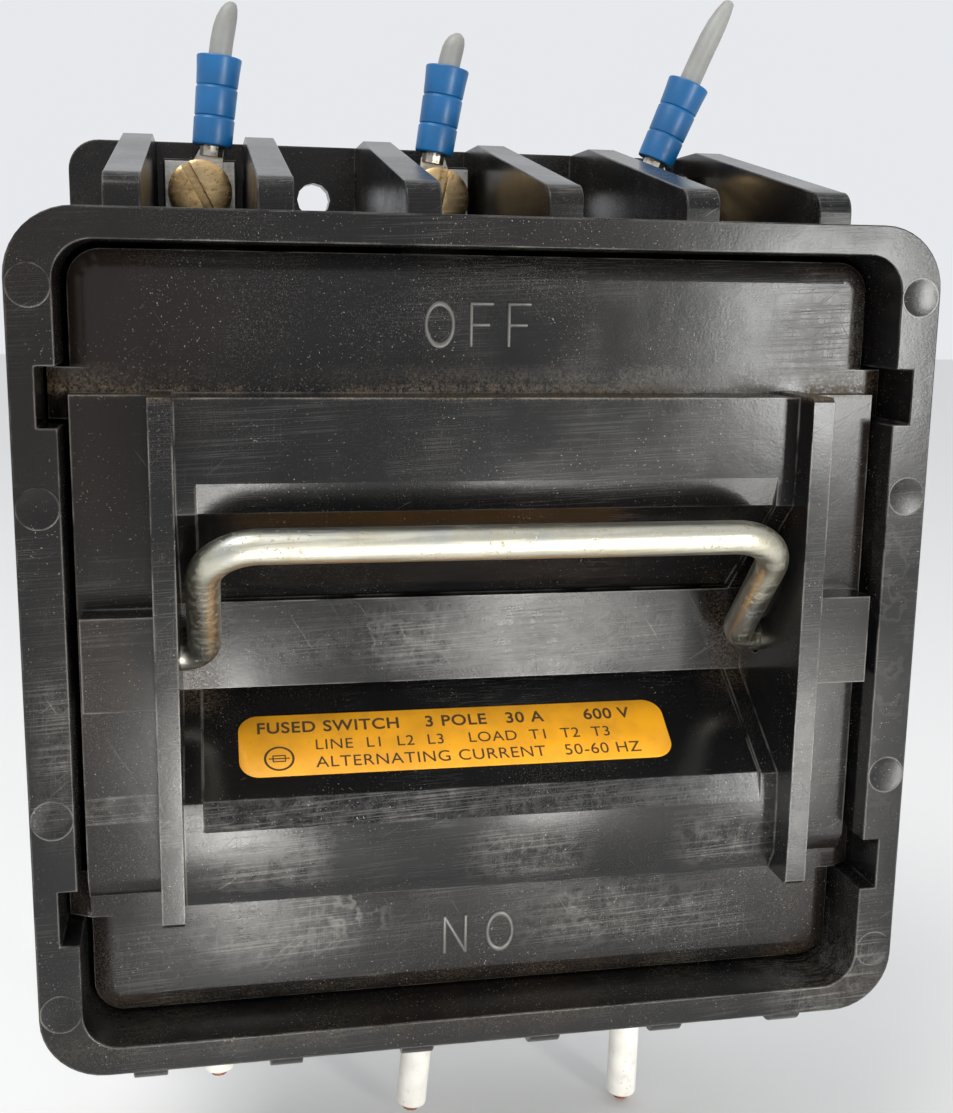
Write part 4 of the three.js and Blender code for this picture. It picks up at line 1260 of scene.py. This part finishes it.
# %% Sleeves and stubs
sleeve_model = turned(SLEEVE_RINGS, hollow=True)
finish_turned(sleeve_model, Matrix.Identity(4), 0.12, 50)
for pole, (lean, forward, shift, stub, sway) in zip(POLES, LUG_LEANS):
    direction = Vector((sin(radians(lean)), -sin(radians(forward)), cos(radians(lean))))
    tilt = aimed(at((pole - 2) * POLE_PITCH + shift, LUG_DEPTH, LUG_TOP), direction.normalized())
    sleeve = copied(sleeve_model, tilt)
    finish_piece(sleeve, f"sleeve_{pole}", "blue_sleeve", "base", [f"line_sleeve_{pole}"])
    wire = turned(stub_rings(stub), sway=sway)
    finish_turned(wire, tilt, 0.1, 60)
    finish_piece(wire, f"wire_stub_{pole}", "grey_wire", "base", [f"line_wire_{pole}"])
bpy.data.objects.remove(sleeve_model)
print("sleeves and stubs placed:", 2 * len(POLES))

# %% [markdown]
# ## Load wires
# Three cut ends of building wire hang below. The sheath is a tube whose end is cut square,
# and a bundle of seven strands stands a little out of it.

# %% Load wires
# For each pole: lean to the left in degrees, and how far below the middle the wire ends.
LOAD_LEANS = ((0, 90.4), (5, 101.0), (1, 103.0))
TERMINAL_Z = 62.9
LOAD_DEPTH = 52.7
LOAD_SHIFT = -0.2
SHEATH_START = 71
CORE_START = 69.2
BARE_END = 1.2
STRAND_RADIUS = 0.47
STRAND_SPACING = 0.97


def hanging(pole, lean, start):
    """The place and direction of a wire that hangs from its terminal, read from start down."""
    aside = -(start - TERMINAL_Z) * tan(radians(lean))
    place = at((pole - 2) * POLE_PITCH + LOAD_SHIFT + aside, LOAD_DEPTH, -start)
    return aimed(place, Vector((-sin(radians(lean)), 0, -cos(radians(lean)))))


def sheath_rings(length):
    return (
        (1.75, 0.0), (2.6, 0.0), (2.75, 0.2), (2.76, length * 0.5), (2.75, length - 0.2),
        (2.6, length), (1.75, length), (1.75, 0.0),
    )


def strand(angle, radius, length):
    rings = ((STRAND_RADIUS, 0.0), (STRAND_RADIUS, length - 0.15), (0.34, length))
    rod = turned(rings, vertices=12)
    rod.data.transform(Matrix.Translation((radius * cos(angle) * MM, radius * sin(angle) * MM, 0)))
    return rod


for pole, (lean, end) in zip(POLES, LOAD_LEANS):
    slant = cos(radians(lean))
    sheath = turned(sheath_rings((end - BARE_END - SHEATH_START) / slant), hollow=True)
    finish_turned(sheath, hanging(pole, lean, SHEATH_START), 0.1, 50)
    finish_piece(sheath, f"sheath_{pole}", "white_wire", "base", [f"load_wire_{pole}"])
    length = (end - CORE_START) / slant
    middle_strand = strand(0, 0, length)
    outer_strands = [strand(radians(60 * turn), STRAND_SPACING, length - 0.1) for turn in range(6)]
    bundle = merge_all([middle_strand, *outer_strands])
    bundle.data.transform(hanging(pole, lean, CORE_START))
    smooth(bundle, 50)
    finish_piece(bundle, f"strands_{pole}", "bare_conductor", "base")
    eye = rounded_copy(f"load_conductor_{pole}", 0.1 * MM, 2)
    finish_piece(eye, f"wire_eye_{pole}", "bare_conductor", "base", [f"load_conductor_{pole}"])
print("load wires placed:", len(POLES))

# %% [markdown]
# ## Fuses
# Each cartridge fuse is a tube with a ferrule pressed on each end. The ferrule's mouth is rolled
# in and its end is slightly domed. The fuses only show when the head is pulled, but then they
# are the first thing that a person looks at.

# %% Fuse outlines
FUSE_DEPTH = 33.4
FUSE_HALF = 28.6
FERRULE_MOUTH = 12.7
TUBE_RADIUS = 9.5
FERRULE_RADIUS = 10.3
FERRULE_WALL = 0.7
CENTRE_RADIUS = 0.4


def ferrule_rings(mouth, end, bore, outer):
    """From the rolled mouth over a shallow groove to the domed end, and back down inside."""
    return (
        (bore, mouth), (outer - 0.35, mouth), (outer - 0.1, mouth + 0.3), (outer, mouth + 1.0),
        (outer, mouth + 3.0), (outer - 0.25, mouth + 3.5), (outer, mouth + 4.0), (outer, end - 0.9),
        (outer - 0.3, end - 0.3), (outer - 1.0, end - 0.05), (outer * 0.5, end),
        (CENTRE_RADIUS, end), (CENTRE_RADIUS, end - FERRULE_WALL), (bore, end - FERRULE_WALL),
        (bore, mouth),
    )


def tube_rings(radius, wrapped=0.08):
    """A paper tube whose bare middle is a wrap thicker than its ends."""
    return (
        (radius - 0.5, -27.5), (radius, -27.0), (radius, -11.5), (radius + wrapped, -11.4),
        (radius + wrapped, 11.4), (radius, 11.5), (radius, 27.0), (radius - 0.5, 27.5),
    )


print("fuse length in mm:", 2 * FUSE_HALF)

# %% Fuses
outline = ferrule_rings(FERRULE_MOUTH, FUSE_HALF, TUBE_RADIUS + 0.3, FERRULE_RADIUS)
ferrule_model = turned(outline, hollow=True, vertices=56)
smooth(ferrule_model, 40)
UPSIDE_DOWN = Matrix.Rotation(radians(180), 4, "X")
for pole in POLES:
    middle = Matrix.Translation(at((pole - 2) * POLE_PITCH, FUSE_DEPTH, 0))
    for end, turn in (("line", Matrix.Identity(4)), ("load", UPSIDE_DOWN)):
        ferrule = copied(ferrule_model, middle @ turn)
        cap = [f"{end}_fuse_cap_{pole}"]
        finish_piece(ferrule, f"{end}_ferrule_{pole}", "fuse_ferrule", "pullout", cap)
    tube = turned(tube_rings(TUBE_RADIUS), vertices=56)
    tube.data.transform(middle)
    smooth(tube, 40)
    finish_piece(tube, f"tube_{pole}", "fuse_tube", "pullout", [f"fuse_tube_{pole}"])
bpy.data.objects.remove(ferrule_model)
print("fuses placed:", len(POLES))
